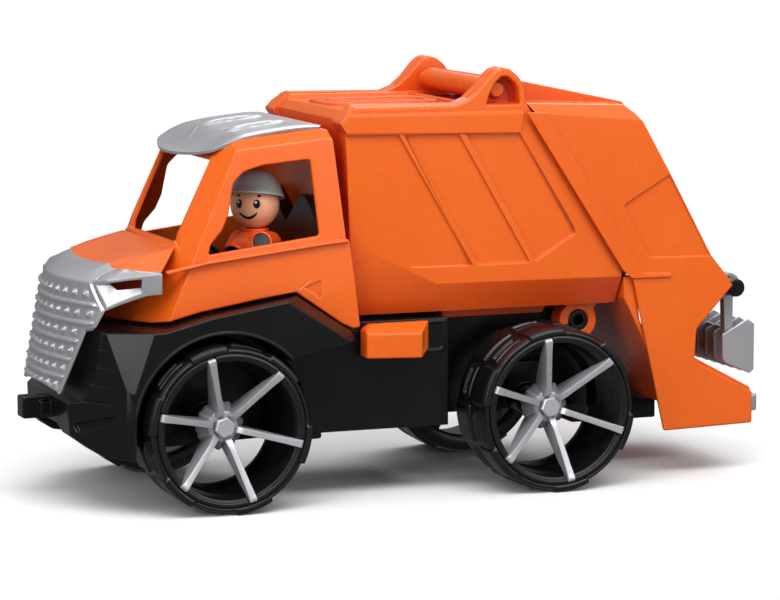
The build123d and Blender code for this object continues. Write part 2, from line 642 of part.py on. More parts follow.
def make_steering_wheel(dash):
    plane = Plane(origin=(107.5, 27.5, 136.0), z_dir=(-0.82, 0.0, 0.57))
    steering = plane * Torus(8.6, 1.3)
    steering = steering + plane * Box(17.0, 2.2, 1.6)
    steering = steering + plane * Cylinder(2.9, 2.6)
    column = Cylinder(1.5, 8.4, align=(Align.CENTER, Align.CENTER, Align.MAX))
    steering = steering + plane * column
    return one(steering - dash)


def make_cab_screws():
    """Cross-head screws, driven from below."""
    screws = []
    for x, y in SCREW_SPOTS:
        screw = rod_z(x, y, 1.55, 58.4, 82.5) + rod_z(x, y, 3.0, 57.0, 59.98)
        for half_x, half_y in ((0.4, 2.2), (2.2, 0.4)):
            screw = screw - block(x - half_x, x + half_x, y - half_y, y + half_y, 56.0, 58.0)
        screws.append(one(screw))
    return Compound(children=screws)


# ---------------------------------------------------------------- side boxes
# Facets: three points of the plane, then the outward direction
BOX_FACETS = [
    ((2.8, 72.0, 80.0), (2.8, 72.0, 90.0), (-4.0, 64.0, 80.0), (-1, 1, 0)),
    ((2.8, 72.0, 89.0), (37.6, 72.0, 90.2), (10.0, 65.0, 94.4), (0, 1, 1)),
    ((2.8, 72.0, 75.4), (-4.0, 66.0, 79.5), (-4.0, 72.0, 81.5), (-1, 0.4, -1))]


def make_side_box(side):
    box = prism_y([(2.8, 75.5), (34.1, 76.6), (34.1, 91.6), (30.0, 94.4), (-4.0, 94.4),
                   (-4.0, 79.5)], 61.25, 72.0)
    for facet in BOX_FACETS:
        box = shave(box, *facet, both_sides=False)
    box = box - block(0.0, 32.0, 58.0, 69.6, 79.0, 90.0)
    peg = rod_y(18.0, 85.0, 2.4, 60.0, 69.6)
    return on_side(one(box + peg), side)


# ---------------------------------------------------------------- driver
SLEEVE_R = 5.9
HAND_DEPTH = 7.0                  # depth of the hand's socket in the sleeve
NECK_R = 3.0


def from_head(forward, left, z):
    """Point given in the turned driver's own forward and left directions."""
    face_x, face_y = math.cos(math.radians(TURN)), math.sin(math.radians(TURN))
    return (HEAD_X + face_x * forward - face_y * left, HEAD_Y + face_y * forward + face_x * left, z)


def driver_arms():
    """Shoulder plane, pointing along the arm, and arm length: left arm, then right."""
    arms = []
    # the left arm reaches forward, the right arm hangs lower
    for side, tip in ((1, from_head(15.4, 8.3, 138.3)), (-1, from_head(10.6, -8.9, 130.8))):
        root = from_head(0.0, side * 8.6, 136.6)
        reach = Vector(*tip) - Vector(*root)
        arms.append((Plane(origin=root, z_dir=tuple(reach.normalized())), reach.length))
    return arms


def make_driver_torso():
    torso = ring_z([
        (0, 123.05), (12.2, 123.05), (13.0, 127.0), (13.0, 133.0), (12.2, 137.0), (10.4, 140.2),
        (7.6, 141.8), (7.3, 142.4), (7.3, 144.4), (0, 144.4)], HEAD_X, HEAD_Y)
    torso = torso + rod_z(HEAD_X, HEAD_Y, PEG_R, 115.2, 124.0)
    for plane, reach in driver_arms():
        shoulder = Pos(*plane.origin) * Sphere(SLEEVE_R)
        torso = torso + plane * upright(SLEEVE_R, reach) + shoulder
    for plane, reach in driver_arms():
        torso = torso - plane * (Pos(0, 0, reach - HAND_DEPTH) * upright(4.75, 8.0))
    return one(torso - rod_z(HEAD_X, HEAD_Y, NECK_R + 0.05, 138.0, 160.0))


def make_driver_hands():
    return Compound(children=[
        one(plane * (Pos(0, 0, reach - HAND_DEPTH + 0.02) * upright(4.7, 6.5)))
        for plane, reach in driver_arms()])


def make_driver_head():
    head = Pos(HEAD_X, HEAD_Y, HEAD_Z) * Sphere(HEAD_R)
    head = head - block(0, 200, 0, 60, 130.0, 144.45)
    return one(head + rod_z(HEAD_X, HEAD_Y, NECK_R, 138.05, 146.0))


def make_driver_cap():
    """Helmet, tilted back on the head."""
    tilt = 14.0
    cap = ring_z([(0.0, 19.2), (6.0, 18.0), (10.2, 15.2), (13.2, 11.6), (14.9, 8.0), (15.6, 4.5),
                  (0.0, 4.5)])
    visor = Pos(5.0, 0, 5.4) * Cylinder(12.6, 1.8)
    cap = (cap + visor) - Sphere(HEAD_R + 0.02)
    cap = one(cap - Pos(0, 0, -20.0) * Box(60, 60, 49.0))
    return Pos(HEAD_X, HEAD_Y, HEAD_Z) * (Rot(0, 0, TURN) * (Rot(0, -tilt, 0) * cap))


# ---------------------------------------------------------------- refuse body
BODY_SIDE = [  # (x, z)
    (32.0, 97.2), (37.2, 140.0), (41.2, 195.6), (41.2, 203.0), (36.0, 209.5), (-62.4, 209.0),
    (-119.6, 116.8), (-120.5, 108.0), (-120.5, 97.2)]
BODY_FACETS = [
    ((41.0, 60.0, 196.0), (-9.8, 60.0, 114.6), (31.8, 50.0, 98.0), (1, 1, -0.5)),
    ((0.0, 60.0, 113.8), (-100.0, 60.0, 112.9), (0.0, 50.0, 97.2), (0, 1, -1))]
BODY_RECESS = [(43.0, 194.6), (-58.6, 193.4), (-92.9, 137.9), (-67.6, 122.9), (4.2, 122.9),
               (43.0, 122.9)]
BODY_RIBS = [((9.8, 194.6), (-32.8, 122.9)), ((-25.1, 193.9), (-66.9, 122.9))]
# Outer and inner (x, z) outlines of a hinge ear
EAR = [
    (-21.0, 209.0), (-29.5, 212.4), (-36.0, 218.0), (-41.5, 224.6), (-45.0, 227.6),
    (-48.5, 228.8), (-53.0, 227.6), (-57.5, 224.0), (-60.6, 219.6), (-61.6, 213.0),
    (-61.6, 208.0), (-40.0, 207.0)]
EAR_INNER = [
    (-39.4, 208.6), (-41.2, 214.5), (-44.2, 220.0), (-47.8, 223.6), (-51.6, 223.6),
    (-55.6, 220.4), (-58.2, 215.6), (-58.6, 208.6)]


def body_volume(inset):
    """Solid refuse body with every face moved in by the inset."""
    body = inset_prism(BODY_SIDE, inset, BODY_HALF)
    for facet in BODY_FACETS:
        body = shave(body, *facet, inset)
    return body


def make_body_shell():
    shell = body_volume(0)
    # sunken side panels crossed by two slanting ribs
    for side in SIDES:
        y0, y1 = span(side, BODY_HALF - RIB_DEPTH, BODY_HALF + 3)
        recess = prism_y(BODY_RECESS, y0, y1)
        for top, bottom in BODY_RIBS:
            recess = recess - prism_y(strip_outline(top, bottom, 3.0, 3.0), y0 - 1, y1 + 1)
        shell = shell - recess
    # rails along the top edges
    rail = prism_y([(41.2, 195.6), (45.0, 201.6), (36.0, 210.8), (-62.0, 209.2),
                    (-58.9, 193.4)], 46.0, 61.0)
    rail = shave(rail, (0.0, 61.0, 204.6), (-60.0, 61.0, 204.2), (0.0, 53.0, 210.8), (0, 1, 1),
                 both_sides=False)
    shell = shell + rail + mirror(rail, about=Plane.XZ)
    # hollow, opened towards the tailgate by stepping the core backwards
    core = body_volume(WALL + RIB_DEPTH)
    shell = shell - core
    for step in (2.0, 4.0, 6.0):
        shell = shell - core.moved(Location((-step, 0, 0)))
    # sunken roof between the rails, with a long raised panel that has its own recess
    shell = shell - prism_x([(-42.0, 207.2), (42.0, 207.2), (46.0, 215.0), (-46.0, 215.0)],
                            -34.0, 60.0)
    shell = shell + prism_z([
        (32.0, -22.0), (36.0, -12.0), (36.0, 12.0), (32.0, 22.0), (-26.0, 22.0), (-30.0, 12.0),
        (-30.0, -12.0), (-26.0, -22.0)], 206.0, 209.2)
    shell = shell - prism_z([
        (24.0, -14.0), (30.0, -6.0), (30.0, 6.0), (24.0, 14.0), (-22.0, 14.0), (-25.0, 6.0),
        (-25.0, -6.0), (-22.0, -14.0)], 207.8, 212.0)
    # hinge ears at the back of the roof, grooved along the crest
    for side in SIDES:
        ear = prism_y(EAR, 46.0, 60.0)
        ear = ear - prism_y(EAR_INNER, 50.0, 62.0)
        ear = ear - prism_y(band_along(EAR[1:9], 4, 1.6), 52.2, 54.6)
        ear = ear + rod_y(GATE_X, GATE_Z, 4.6, 45.0, 51.6)
        shell = shell + on_side(ear, side)
    shell = shell - rod_y(GATE_X, GATE_Z, PIN_BORE_R, -70, 70)
    # room for the tailgate's hinge barrel
    shell = shell - block(-75.0, -37.0, -44.5, 44.5, 207.4, 230.0)
    # opening that the floor moulding closes
    return one(shell - block(-125.0, 40.0, -47.0, 47.0, 96.0, 100.6))


def make_body_floor():
    floor = block(-119.5, 30.0, -46.9, 46.9, 97.25, 100.5)
    # clips that snap on the tipping shaft
    for side in SIDES:
        y0, y1 = span(side, 30.6, 43.4)
        clip = rod_y(TIP_X, TIP_Z, TIP_CLIP_R, y0, y1)
        clip = clip + prism_y([(TIP_X - 8.0, TIP_Z + 4.0), (TIP_X + 14.0, 98.5),
                               (TIP_X - 12.5, 98.5)], y0, y1)
        # mouth of the clip, opening downwards and forwards
        clip = clip - prism_y([(TIP_X, TIP_Z + 1.0), (TIP_X + 16.0, TIP_Z - 6.0),
                               (TIP_X + 4.0, TIP_Z - 16.0)], y0 - 1, y1 + 1)
        floor = floor + clip
    floor = floor - rod_y(TIP_X, TIP_Z, TIP_BORE_R, -60, 60)
    # stiffening bars under the floor, either side of the chassis spine
    for side in SIDES:
        floor = floor + prism_y([(-88.0, 97.5), (-24.0, 97.5), (-24.0, 91.0), (-84.0, 91.0)],
                                *span(side, 31.0, 33.5))
    return one(floor)


# ---------------------------------------------------------------- tailgate
def make_rod_caps():
    """Caps on the ends of the hinge rod."""
    bore = PIN_R + 0.01
    cap = ring_y([(bore, 51.75), (4.3, 51.75), (4.3, 53.4), (3.6, 54.3), (0, 54.3), (0, 53.3),
                  (bore, 53.3)])
    return Compound(children=[Pos(GATE_X, 0, GATE_Z) * on_side(cap, side) for side in SIDES])


# (x, z) outlines
GATE_SIDE = [
    (-63.6, 209.2), (-123.0, 206.6), (-128.2, 201.5), (-146.7, 169.4), (-172.4, 122.6),
    (-182.6, 110.4), (-186.2, 104.7), (-164.4, 81.7), (-163.4, 63.9), (-199.0, 45.1),
    (-199.3, 27.1), (-145.0, 25.7), (-125.1, 112.9), (-121.4, 116.6)]
GATE_INNER = [
    (-58.0, 206.4), (-122.0, 203.8), (-126.0, 200.0), (-144.2, 168.6), (-170.0, 121.6),
    (-180.2, 109.4), (-182.6, 105.6), (-190.0, 99.0), (-210.0, 90.0), (-210.0, 15.0),
    (-120.0, 15.0), (-118.0, 70.0), (-121.0, 112.0), (-110.0, 125.0)]
GATE_TOP_FACET = ((-64.0, 63.0, 204.4), (-128.0, 63.0, 198.6), (-64.0, 57.0, 209.2), (0, 1, 1))
GATE_CROWN = [
    (GATE_X - 0.5, GATE_Z + BARREL_R), (-70.0, 219.3), (-128.2, 207.0), (-132.6, 200.0),
    (-128.2, 196.0), (-120.0, 198.0), (-72.0, 207.0), (-62.0, 209.5),
    (GATE_X - 3.0, GATE_Z - 5.6)]
GATE_BEAD = [
    (-61.0, 204.6), (-72.6, 204.3), (-131.0, 114.2), (-148.0, 113.6), (-148.0, 111.4),
    (-124.2, 111.6), (-118.6, 116.6)]
GATE_RECESS = [(-146.9, 168.0), (-119.6, 152.2), (-135.4, 122.6), (-172.6, 122.0)]


def make_tailgate_housing():
    inner_half = GATE_HALF - WALL
    housing = shave(prism_y(GATE_SIDE, -GATE_HALF, GATE_HALF), *GATE_TOP_FACET)
    inner = shave(prism_y(GATE_INNER, -inner_half, inner_half), *GATE_TOP_FACET, WALL)
    housing = housing - inner
    # clearance round the lifter rod
    housing = housing - rod_y(ROD_X, ROD_Z, 8.3, -54.5, 54.5)
    # raised middle of the top, running into the hinge barrel
    crown = prism_y(GATE_CROWN, -41.0, 41.0)
    crown = crown + rod_y(GATE_X, GATE_Z, BARREL_R, -41.0, 41.0)
    crown_inner = prism_y([
        (-62.0, 214.6), (-70.0, 216.4), (-126.5, 204.2), (-129.0, 200.4), (-126.0, 190.0),
        (-80.0, 190.0), (-60.0, 203.0)], -38.4, 38.4)
    housing = (housing + crown) - crown_inner
    housing = housing - rod_y(GATE_X, GATE_Z, PIN_BORE_R, -60, 60)
    # front edge bead over the joint with the refuse body, and a long recess in the side
    for side in SIDES:
        housing = housing + prism_y(GATE_BEAD, *span(side, GATE_HALF, GATE_HALF + 1.3))
        housing = housing - prism_y(GATE_RECESS, *span(side, GATE_HALF - 1.2, GATE_HALF + 3))
    return one(housing)


def make_hopper_tray():
    """Tray between the side cheeks of the tailgate."""
    half = GATE_HALF - WALL - 0.02
    return one(prism_y([
        (-121.0, 112.4), (-121.0, 100.6), (-125.4, 92.0), (-152.0, 38.4), (-199.2, 38.4),
        (-199.2, 46.8), (-163.4, 66.0), (-160.6, 66.0), (-160.6, 62.0), (-194.0, 44.2),
        (-190.0, 41.0), (-153.8, 41.0), (-130.8, 88.0), (-129.4, 100.0), (-126.6, 112.4)],
        -half, half))


def make_rear_bar():
    bar = block(-204.6, -199.3, -58.5, 58.5, 33.0, 42.6)
    return one(fillet(bar.edges().filter_by(Axis.Z), 1.8))


# ---------------------------------------------------------------- bin lifter comb
FIN_PITCH = 10.5
COMB_HALF = 5 * FIN_PITCH         # outermost fins


def make_comb():
    fin_outline = [(-184.9, 76.3), (-200.6, 84.2), (-204.8, 81.4), (-204.8, 55.6),
                   (-202.2, 53.4), (-187.0, 60.2), (-185.4, 62.4)]
    fins = [prism_y(fin_outline, y - 0.8, y + 0.8)
            for y in (-COMB_HALF + FIN_PITCH * k for k in range(11))]
    comb = fins[0]
    for fin in fins[1:]:
        comb = comb + fin
    # cross bars: upright, then level
    comb = comb + block(-193.0, -190.6, -COMB_HALF, COMB_HALF, 62.0, 79.0)
    comb = comb + block(-200.0, -190.0, -COMB_HALF, COMB_HALF, 68.6, 71.0)
    # arms up to eyes on the lifter rod
    for y in (-47.25, 47.25, -15.75, 15.75):
        width = (y - 2.6, y + 2.6)
        arm = prism_y([(-192.8, 76.0), (-188.0, 76.0), (ROD_X + 3.0, ROD_Z - 2.0),
                       (ROD_X - 3.0, ROD_Z - 2.0)], *width)
        comb = comb + arm + rod_y(ROD_X, ROD_Z, 7.4, *width)
    return one(comb - rod_y(ROD_X, ROD_Z, ROD_BORE_R, -60, 60))


# ---------------------------------------------------------------- build and save
os.makedirs("parts", exist_ok=True)

for name, axle_x, side, phase in WHEELS:
    for label, maker in (("tyre", make_tyre), ("rim", make_rim), ("hub_cap", make_hub_cap)):
        save(f"{name}_{label}", Pos(axle_x, 0, TYRE_R) * on_side(maker(phase), side))
for name, axle_x in (("front_axle", FRONT_X), ("rear_axle", REAR_X)):
    save(name, bevelled_rod(axle_x, TYRE_R, AXLE_R, AXLE_HALF, 0.4))
save("axle_push_nuts", make_push_nuts())

save("tipping_shaft", make_tipping_shaft())
save("chassis", make_chassis())

cab_shell = make_cab_shell()
save("cab_shell", cab_shell)
save("roof_panel", make_roof_panel())
save("grille_panel", make_grille_panel(cab_shell))

room = cab_volume(WALL + 0.1)     # space for the interior, just clear of the walls
dashboard = make_dashboard(room)
save("seat_unit", make_seat_unit(room))
save("dashboard", dashboard)
save("dashboard_trim", make_dashboard_trim(room, dashboard))
save("steering_wheel", make_steering_wheel(dashboard))
save("cab_screws", make_cab_screws())

save("side_box_left", make_side_box(1))
save("side_box_right", make_side_box(-1))

save("driver_torso", make_driver_torso())
save("driver_hands", make_driver_hands())
save("driver_head", make_driver_head())
save("driver_cap", make_driver_cap())

save("refuse_body_shell", make_body_shell())
save("refuse_body_floor", make_body_floor())

save("gate_hinge_rod", bevelled_rod(GATE_X, GATE_Z, PIN_R, 53.2, 0.3))
save("gate_rod_caps", make_rod_caps())
tailgate = make_tailgate_housing()
save("tailgate_housing", tailgate)
save("hopper_tray", make_hopper_tray())
save("rear_bar", make_rear_bar())
save("lifter_rod", one(rod_y(ROD_X, ROD_Z, ROD_R, -60.35, 60.35) - tailgate))
save("bin_lifter_comb", make_comb())
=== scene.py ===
"""A toy refuse lorry in moulded plastic, with its driver, on a white studio floor.

The lorry stands along X with its cab at +X. Its left side is +Y and +Z is up. Shapes are
written in millimetres and turned into metres as meshes are made. The plainer CAD pieces keep
their form and get rounded edges. The wheels, grille, bonnet skin, roof, face and helmet are
modelled here.
"""
import bpy
import bmesh
import json
import math
from contextlib import contextmanager
import numpy as np
from mathutils import Vector, Matrix
from mathutils.kdtree import KDTree
from mathutils.geometry import delaunay_2d_cdt


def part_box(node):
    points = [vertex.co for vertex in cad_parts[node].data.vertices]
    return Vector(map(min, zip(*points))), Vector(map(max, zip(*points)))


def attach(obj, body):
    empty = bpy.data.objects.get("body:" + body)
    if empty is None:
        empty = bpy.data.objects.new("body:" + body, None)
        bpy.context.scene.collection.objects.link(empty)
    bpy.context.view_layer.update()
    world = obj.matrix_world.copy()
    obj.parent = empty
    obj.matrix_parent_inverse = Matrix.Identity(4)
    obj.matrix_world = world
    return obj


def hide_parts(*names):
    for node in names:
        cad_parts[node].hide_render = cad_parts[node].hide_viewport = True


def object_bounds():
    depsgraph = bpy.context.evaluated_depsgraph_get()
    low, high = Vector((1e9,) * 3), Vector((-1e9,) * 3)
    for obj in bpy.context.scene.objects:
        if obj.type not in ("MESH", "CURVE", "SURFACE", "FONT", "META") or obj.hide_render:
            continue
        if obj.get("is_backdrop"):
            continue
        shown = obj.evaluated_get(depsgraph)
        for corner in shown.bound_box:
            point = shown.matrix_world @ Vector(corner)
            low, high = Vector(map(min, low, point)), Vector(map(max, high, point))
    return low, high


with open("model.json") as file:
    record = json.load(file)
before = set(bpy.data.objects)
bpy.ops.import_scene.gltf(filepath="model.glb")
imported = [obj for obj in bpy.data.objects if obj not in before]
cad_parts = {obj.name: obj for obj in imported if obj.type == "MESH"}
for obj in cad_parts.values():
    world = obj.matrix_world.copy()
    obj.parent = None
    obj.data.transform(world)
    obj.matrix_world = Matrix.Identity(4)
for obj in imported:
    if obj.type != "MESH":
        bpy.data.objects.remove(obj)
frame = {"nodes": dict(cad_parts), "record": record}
CAD_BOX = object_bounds()
NODES = frame["nodes"]
RECORD = frame["record"]
SLOT = {part["node"]: part["material_slot"] for part in RECORD["subparts"]}
BODY_OF = {n: body for body, names in RECORD["behaviour"]["bodies"].items() for n in names}
MM = 0.001


# ------------------------------------------------------------------ shader nodes
class Shader:
    """The emptied node tree of a material or world, with short calls to fill it."""

    MIX_A, MIX_B, MIX_RESULT = 6, 7, 2  # colour sockets of the mix node

    def __init__(self, owner):
        owner.use_nodes = True
        self.tree = owner.node_tree
        self.tree.nodes.clear()

    def feed(self, node, inputs):
        """Give each input its value, or link it if the value is a socket."""
        for key, value in inputs.items():
            if isinstance(value, bpy.types.NodeSocket):
                self.tree.links.new(value, node.inputs[key])
            else:
                node.inputs[key].default_value = value

    def add(self, kind, inputs=None, **settings):
        node = self.tree.nodes.new("ShaderNode" + kind)
        for key, value in settings.items():
            setattr(node, key, value)
        self.feed(node, inputs or {})
        return node

    def math(self, operation, a, b, clamp=False):
        return self.add("Math", {0: a, 1: b}, operation=operation, use_clamp=clamp).outputs[0]

    def noise(self, coords, scale, detail=3.0, roughness=0.5, stretch=None):
        if stretch is not None:
            coords = self.add("Mapping", {"Scale": stretch, "Vector": coords}).outputs[0]
        inputs = {"Scale": scale, "Detail": detail, "Roughness": roughness, "Vector": coords}
        return self.add("TexNoise", inputs).outputs["Fac"]

    def remap(self, value, to, span=(0.35, 0.65)):
        """Carry the span of values over to another range."""
        return self.add("MapRange", {
            "From Min": span[0], "From Max": span[1], "To Min": to[0], "To Max": to[1],
            "Value": value}).outputs[0]

    def mix(self, factor, a, b):
        a, b = [(*c, 1.0) if isinstance(c, tuple) else c for c in (a, b)]
        inputs = {"Factor": factor, self.MIX_A: a, self.MIX_B: b}
        return self.add("Mix", inputs, data_type="RGBA").outputs[self.MIX_RESULT]

    def mix_shader(self, factor, a, b):
        return self.add("MixShader", {0: factor, 1: a, 2: b}).outputs[0]


def new_material(name):
    material = bpy.data.materials.new(name)
    shader = Shader(material)
    output = shader.add("OutputMaterial")
    return material, shader, output, shader.add("BsdfPrincipled")


# ------------------------------------------------------------------ plastics
def edge_mask(shader, radius, gain):
    """Nought on flat areas, rising to one along sharp edges."""
    bevel = shader.add("Bevel", {"Radius": radius}, samples=4)
    geometry = shader.add("NewGeometry")
    dot = shader.add("VectorMath", {0: bevel.outputs[0], 1: geometry.outputs["Normal"]},
                     operation="DOT_PRODUCT")
    bend = shader.math("SUBTRACT", 0.982, dot.outputs["Value"], clamp=True)
    return shader.math("MULTIPLY", bend, gain, clamp=True)


def shade_hollows(shader, colour, shade):
    """Deepen the colour in hollows and on faces that look down."""
    occlusion = shader.add("AmbientOcclusion", {"Distance": 0.022}, samples=6)
    geometry = shader.add("NewGeometry")
    normal = shader.add("SeparateXYZ", {0: geometry.outputs["Normal"]})
    under = shader.remap(normal.outputs["Z"], to=(1.0, 0.0), span=(-0.75, -0.25))
    hollow = shader.remap(occlusion.outputs["AO"], to=(0.85, 0.0), span=(0.15, 0.75))
    return shader.mix(shader.math("MAXIMUM", hollow, under), colour, shade)


def moulded_normal(shader, coords, grain, wave):
    """Fine grain and slow waves, over edges softened in shading."""
    fine = shader.noise(coords, scale=900.0, detail=5.0, roughness=0.65)
    broad = shader.noise(coords, scale=38.0, detail=2.0)
    height = shader.math("ADD", shader.math("MULTIPLY", fine, grain),
                         shader.math("MULTIPLY", broad, wave * 8.0))
    soft = shader.add("Bevel", {"Radius": 0.0005}, samples=4)
    return shader.add("Bump", {"Strength": 1.0, "Distance": 0.0002, "Height": height,
                               "Normal": soft.outputs[0]}).outputs[0]


def plastic(name, deep, base, light, roughness, edge_highlight, wave, roughness_spread=0.06, grain=0.04,
            subsurface=0.0, subsurface_radius=None, metallic=0.0, flake=0.0, ior=1.5, shade=None):
    """Moulded plastic: slow colour drift, fine grain, varying gloss, and a painted highlight that
    makes the edges paler.
    """
    material, shader, output, surface = new_material(name)
    coords = shader.add("TexCoord").outputs["Object"]
    drift = shader.remap(shader.noise(coords, scale=14.0, detail=2.0),
                         to=(0.25, 1.0), span=(0.3, 0.7))
    colour = shader.mix(drift, deep, base)
    mottle = shader.remap(shader.noise(coords, scale=120.0, detail=4.0),
                          to=(0.0, 0.05), span=(0.4, 0.75))
    colour = shader.mix(mottle, colour, deep)
    if shade is not None:
        colour = shade_hollows(shader, colour, shade)
    # Painted highlight: sharp edges are mixed towards the pale colour, broken up by noise,
    # standing in for lamp reflections along rounded edges.
    edges = edge_mask(shader, radius=0.0008, gain=3.0)
    patches = shader.remap(shader.noise(coords, scale=180.0), to=(0.8, 1.0))
    edge_highlight_mask = shader.math("MULTIPLY", edges, patches)
    colour = shader.mix(shader.math("MULTIPLY", edge_highlight_mask, edge_highlight), colour, light)
    if flake > 0:
        cells = shader.add("TexVoronoi", {"Scale": 2600.0, "Vector": coords})
        specks = shader.remap(cells.outputs["Distance"], to=(1.0, 0.0), span=(0.05, 0.5))
        colour = shader.mix(shader.math("MULTIPLY", specks, flake), colour, light)
    gloss = shader.remap(shader.noise(coords, scale=55.0, detail=2.0), span=(0.2, 0.8),
                         to=(roughness - roughness_spread, roughness + roughness_spread))
    smear = shader.noise(coords, scale=9.0, detail=2.0, stretch=(1.0, 1.0, 3.5))
    smear = shader.remap(smear, to=(-0.01, 0.015), span=(0.2, 0.8))
    gloss = shader.math("ADD", gloss, smear)
    gloss = shader.math("ADD", gloss, shader.math("MULTIPLY", edge_highlight_mask, 0.12))
    shader.feed(surface, {"Base Color": colour, "Roughness": gloss, "Metallic": metallic,
                          "IOR": ior, "Coat Roughness": 0.12})
    if subsurface > 0:
        shader.feed(surface, {"Subsurface Weight": subsurface, "Subsurface Scale": 0.003,
                              "Subsurface Radius": subsurface_radius})
    shader.feed(surface, {"Normal": moulded_normal(shader, coords, grain, wave)})
    shader.feed(output, {"Surface": surface.outputs["BSDF"]})
    return material


# The edge setting of each plastic is the strength of the painted highlight along its edges.
MATERIALS = {
    "orange": plastic(
        "orange_plastic", deep=(0.70, 0.104, 0.005), base=(0.73, 0.118, 0.007),
        light=(1.0, 0.42, 0.16), roughness=0.27, roughness_spread=0.015, subsurface=0.06,
        subsurface_radius=(1.0, 0.22, 0.04), edge_highlight=0.95, wave=0.006, ior=1.42,
        shade=(0.60, 0.020, 0.006)),
    "black": plastic(
        "black_plastic", deep=(0.0030, 0.0030, 0.0034), base=(0.0045, 0.0045, 0.005),
        light=(0.11, 0.11, 0.115), roughness=0.25, roughness_spread=0.04, edge_highlight=0.6, grain=0.05,
        wave=0.015, ior=1.36),
    "tyre_black": plastic(
        "tyre_plastic", deep=(0.0038, 0.0038, 0.0042), base=(0.006, 0.006, 0.0065),
        light=(0.10, 0.10, 0.105), roughness=0.27, roughness_spread=0.04, edge_highlight=0.30, grain=0.03,
        wave=0.012),
    "silver": plastic(
        "silver_plastic", deep=(0.36, 0.365, 0.385), base=(0.42, 0.425, 0.445),
        light=(0.85, 0.86, 0.90), roughness=0.30, roughness_spread=0.04, metallic=0.55,
        flake=0.35, edge_highlight=0.45, grain=0.03, wave=0.012),
    "wheel_silver": plastic(
        "wheel_silver_plastic", deep=(0.42, 0.43, 0.45), base=(0.52, 0.53, 0.56),
        light=(0.88, 0.90, 0.94), roughness=0.30, roughness_spread=0.04, metallic=0.50,
        flake=0.35, edge_highlight=0.45, grain=0.03, wave=0.012),
    "seat_black": plastic(
        "cabin_black", deep=(0.0045, 0.0045, 0.005), base=(0.0075, 0.0075, 0.008),
        light=(0.07, 0.07, 0.07), roughness=0.32, roughness_spread=0.04, edge_highlight=0.2, wave=0.012),
    "skin": plastic(
        "figure_skin", deep=(0.84, 0.40, 0.235), base=(0.88, 0.45, 0.28), light=(0.95, 0.65, 0.5),
        roughness=0.30, roughness_spread=0.03, subsurface=0.30,
        subsurface_radius=(1.0, 0.45, 0.25), edge_highlight=0.05, grain=0.008, wave=0.004),
    "cap_grey": plastic(
        "figure_cap", deep=(0.34, 0.37, 0.37), base=(0.40, 0.43, 0.43), light=(0.6, 0.63, 0.64),
        roughness=0.28, roughness_spread=0.03, edge_highlight=0.2, grain=0.012, wave=0.006),
    "figure_orange": plastic(
        "figure_orange", deep=(0.84, 0.085, 0.006), base=(0.90, 0.11, 0.010),
        light=(1.0, 0.40, 0.14), roughness=0.26, roughness_spread=0.03, subsurface=0.12,
        subsurface_radius=(1.0, 0.3, 0.1), edge_highlight=0.25, grain=0.015, wave=0.006),
    "steel": plastic(
        "steel_rod", deep=(0.42, 0.42, 0.43), base=(0.52, 0.52, 0.53), light=(0.8, 0.8, 0.8),
        roughness=0.28, metallic=1.0, edge_highlight=0.2, wave=0.01),
}


# ------------------------------------------------------------------ mesh helpers
def place(name, data):
    item = bpy.data.objects.new(name, data)
    bpy.context.scene.collection.objects.link(item)
    return item


def mesh_from(bm, name):
    mesh = bpy.data.meshes.new(name)
    bm.to_mesh(mesh)
    bm.free()
    return mesh


@contextmanager
def editing(mesh):
    bm = bmesh.new()
    bm.from_mesh(mesh)
    yield bm
    bm.to_mesh(mesh)
    bm.free()


def modifier(item, name, kind, **settings):
    made = item.modifiers.new(name, kind)
    for key, value in settings.items():
        setattr(made, key, value)


def round_edges(item, width, degrees, segments=3):
    modifier(item, "round", "BEVEL", width=width * MM, segments=segments, limit_method="ANGLE",
             angle_limit=math.radians(degrees))


def thicken(item, wall, **settings):
    """Give a skin its wall, on the inner side."""
    modifier(item, "wall", "SOLIDIFY", thickness=wall * MM, offset=-1.0, **settings)


def apply_modifiers(item):
    graph = bpy.context.evaluated_depsgraph_get()
    mesh = bpy.data.meshes.new_from_object(item.evaluated_get(graph), depsgraph=graph)
    item.modifiers.clear()
    item.data = mesh
    return mesh


def is_sharp(edge, limit):
    return len(edge.link_faces) == 2 and edge.calc_face_angle(0.0) > limit


def keep_crisp(bm, degrees):
    """Smooth shading, except over edges sharper than the angle."""
    for edge in bm.edges:
        edge.smooth = not is_sharp(edge, math.radians(degrees))


def recalculate(bm):
    bmesh.ops.recalc_face_normals(bm, faces=bm.faces)


def settle_on(item, node):
    """The item stands in for the CAD node, on its body."""
    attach(item, BODY_OF[node])
    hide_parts(node)


# ------------------------------------------------------------------ CAD pieces with rounding
SHARP_ANGLE = 24.0      # degrees; edges sharper than this are rounded
ROOM_SHARE = 0.43       # the part of a gap to a neighbour that a rounding may take
SAMPLE_STEP = 0.0006    # m between the points that measure gaps
WIDTH_STEP = 0.00025    # m by which widths may differ along a run
STRAIGHT_ON = -0.77     # two edges whose headings dot below this run on as one
HAIRPIN = 0.82          # two edges whose headings dot above this close in on each other

# Rounding width of each moulded piece, mm.
MOULDED = {
    "cab_shell": 1.5, "refuse_body_shell": 1.5, "tailgate_housing": 1.5, "chassis": 1.2,
    "side_box_left": 1.2, "side_box_right": 1.2, "hopper_tray": 0.9, "rear_bar": 1.2,
    "bin_lifter_comb": 0.5, "refuse_body_floor": 0.8, "seat_unit": 1.2, "dashboard": 1.0,
    "driver_torso": 0.6, "lifter_rod": 0.7,
}
# Pieces modelled further down.
MODELLED = {"grille_panel", "roof_panel", "driver_cap"}
MODELLED |= {n for n in NODES if n.endswith("_tyre") or n.endswith("_rim")}


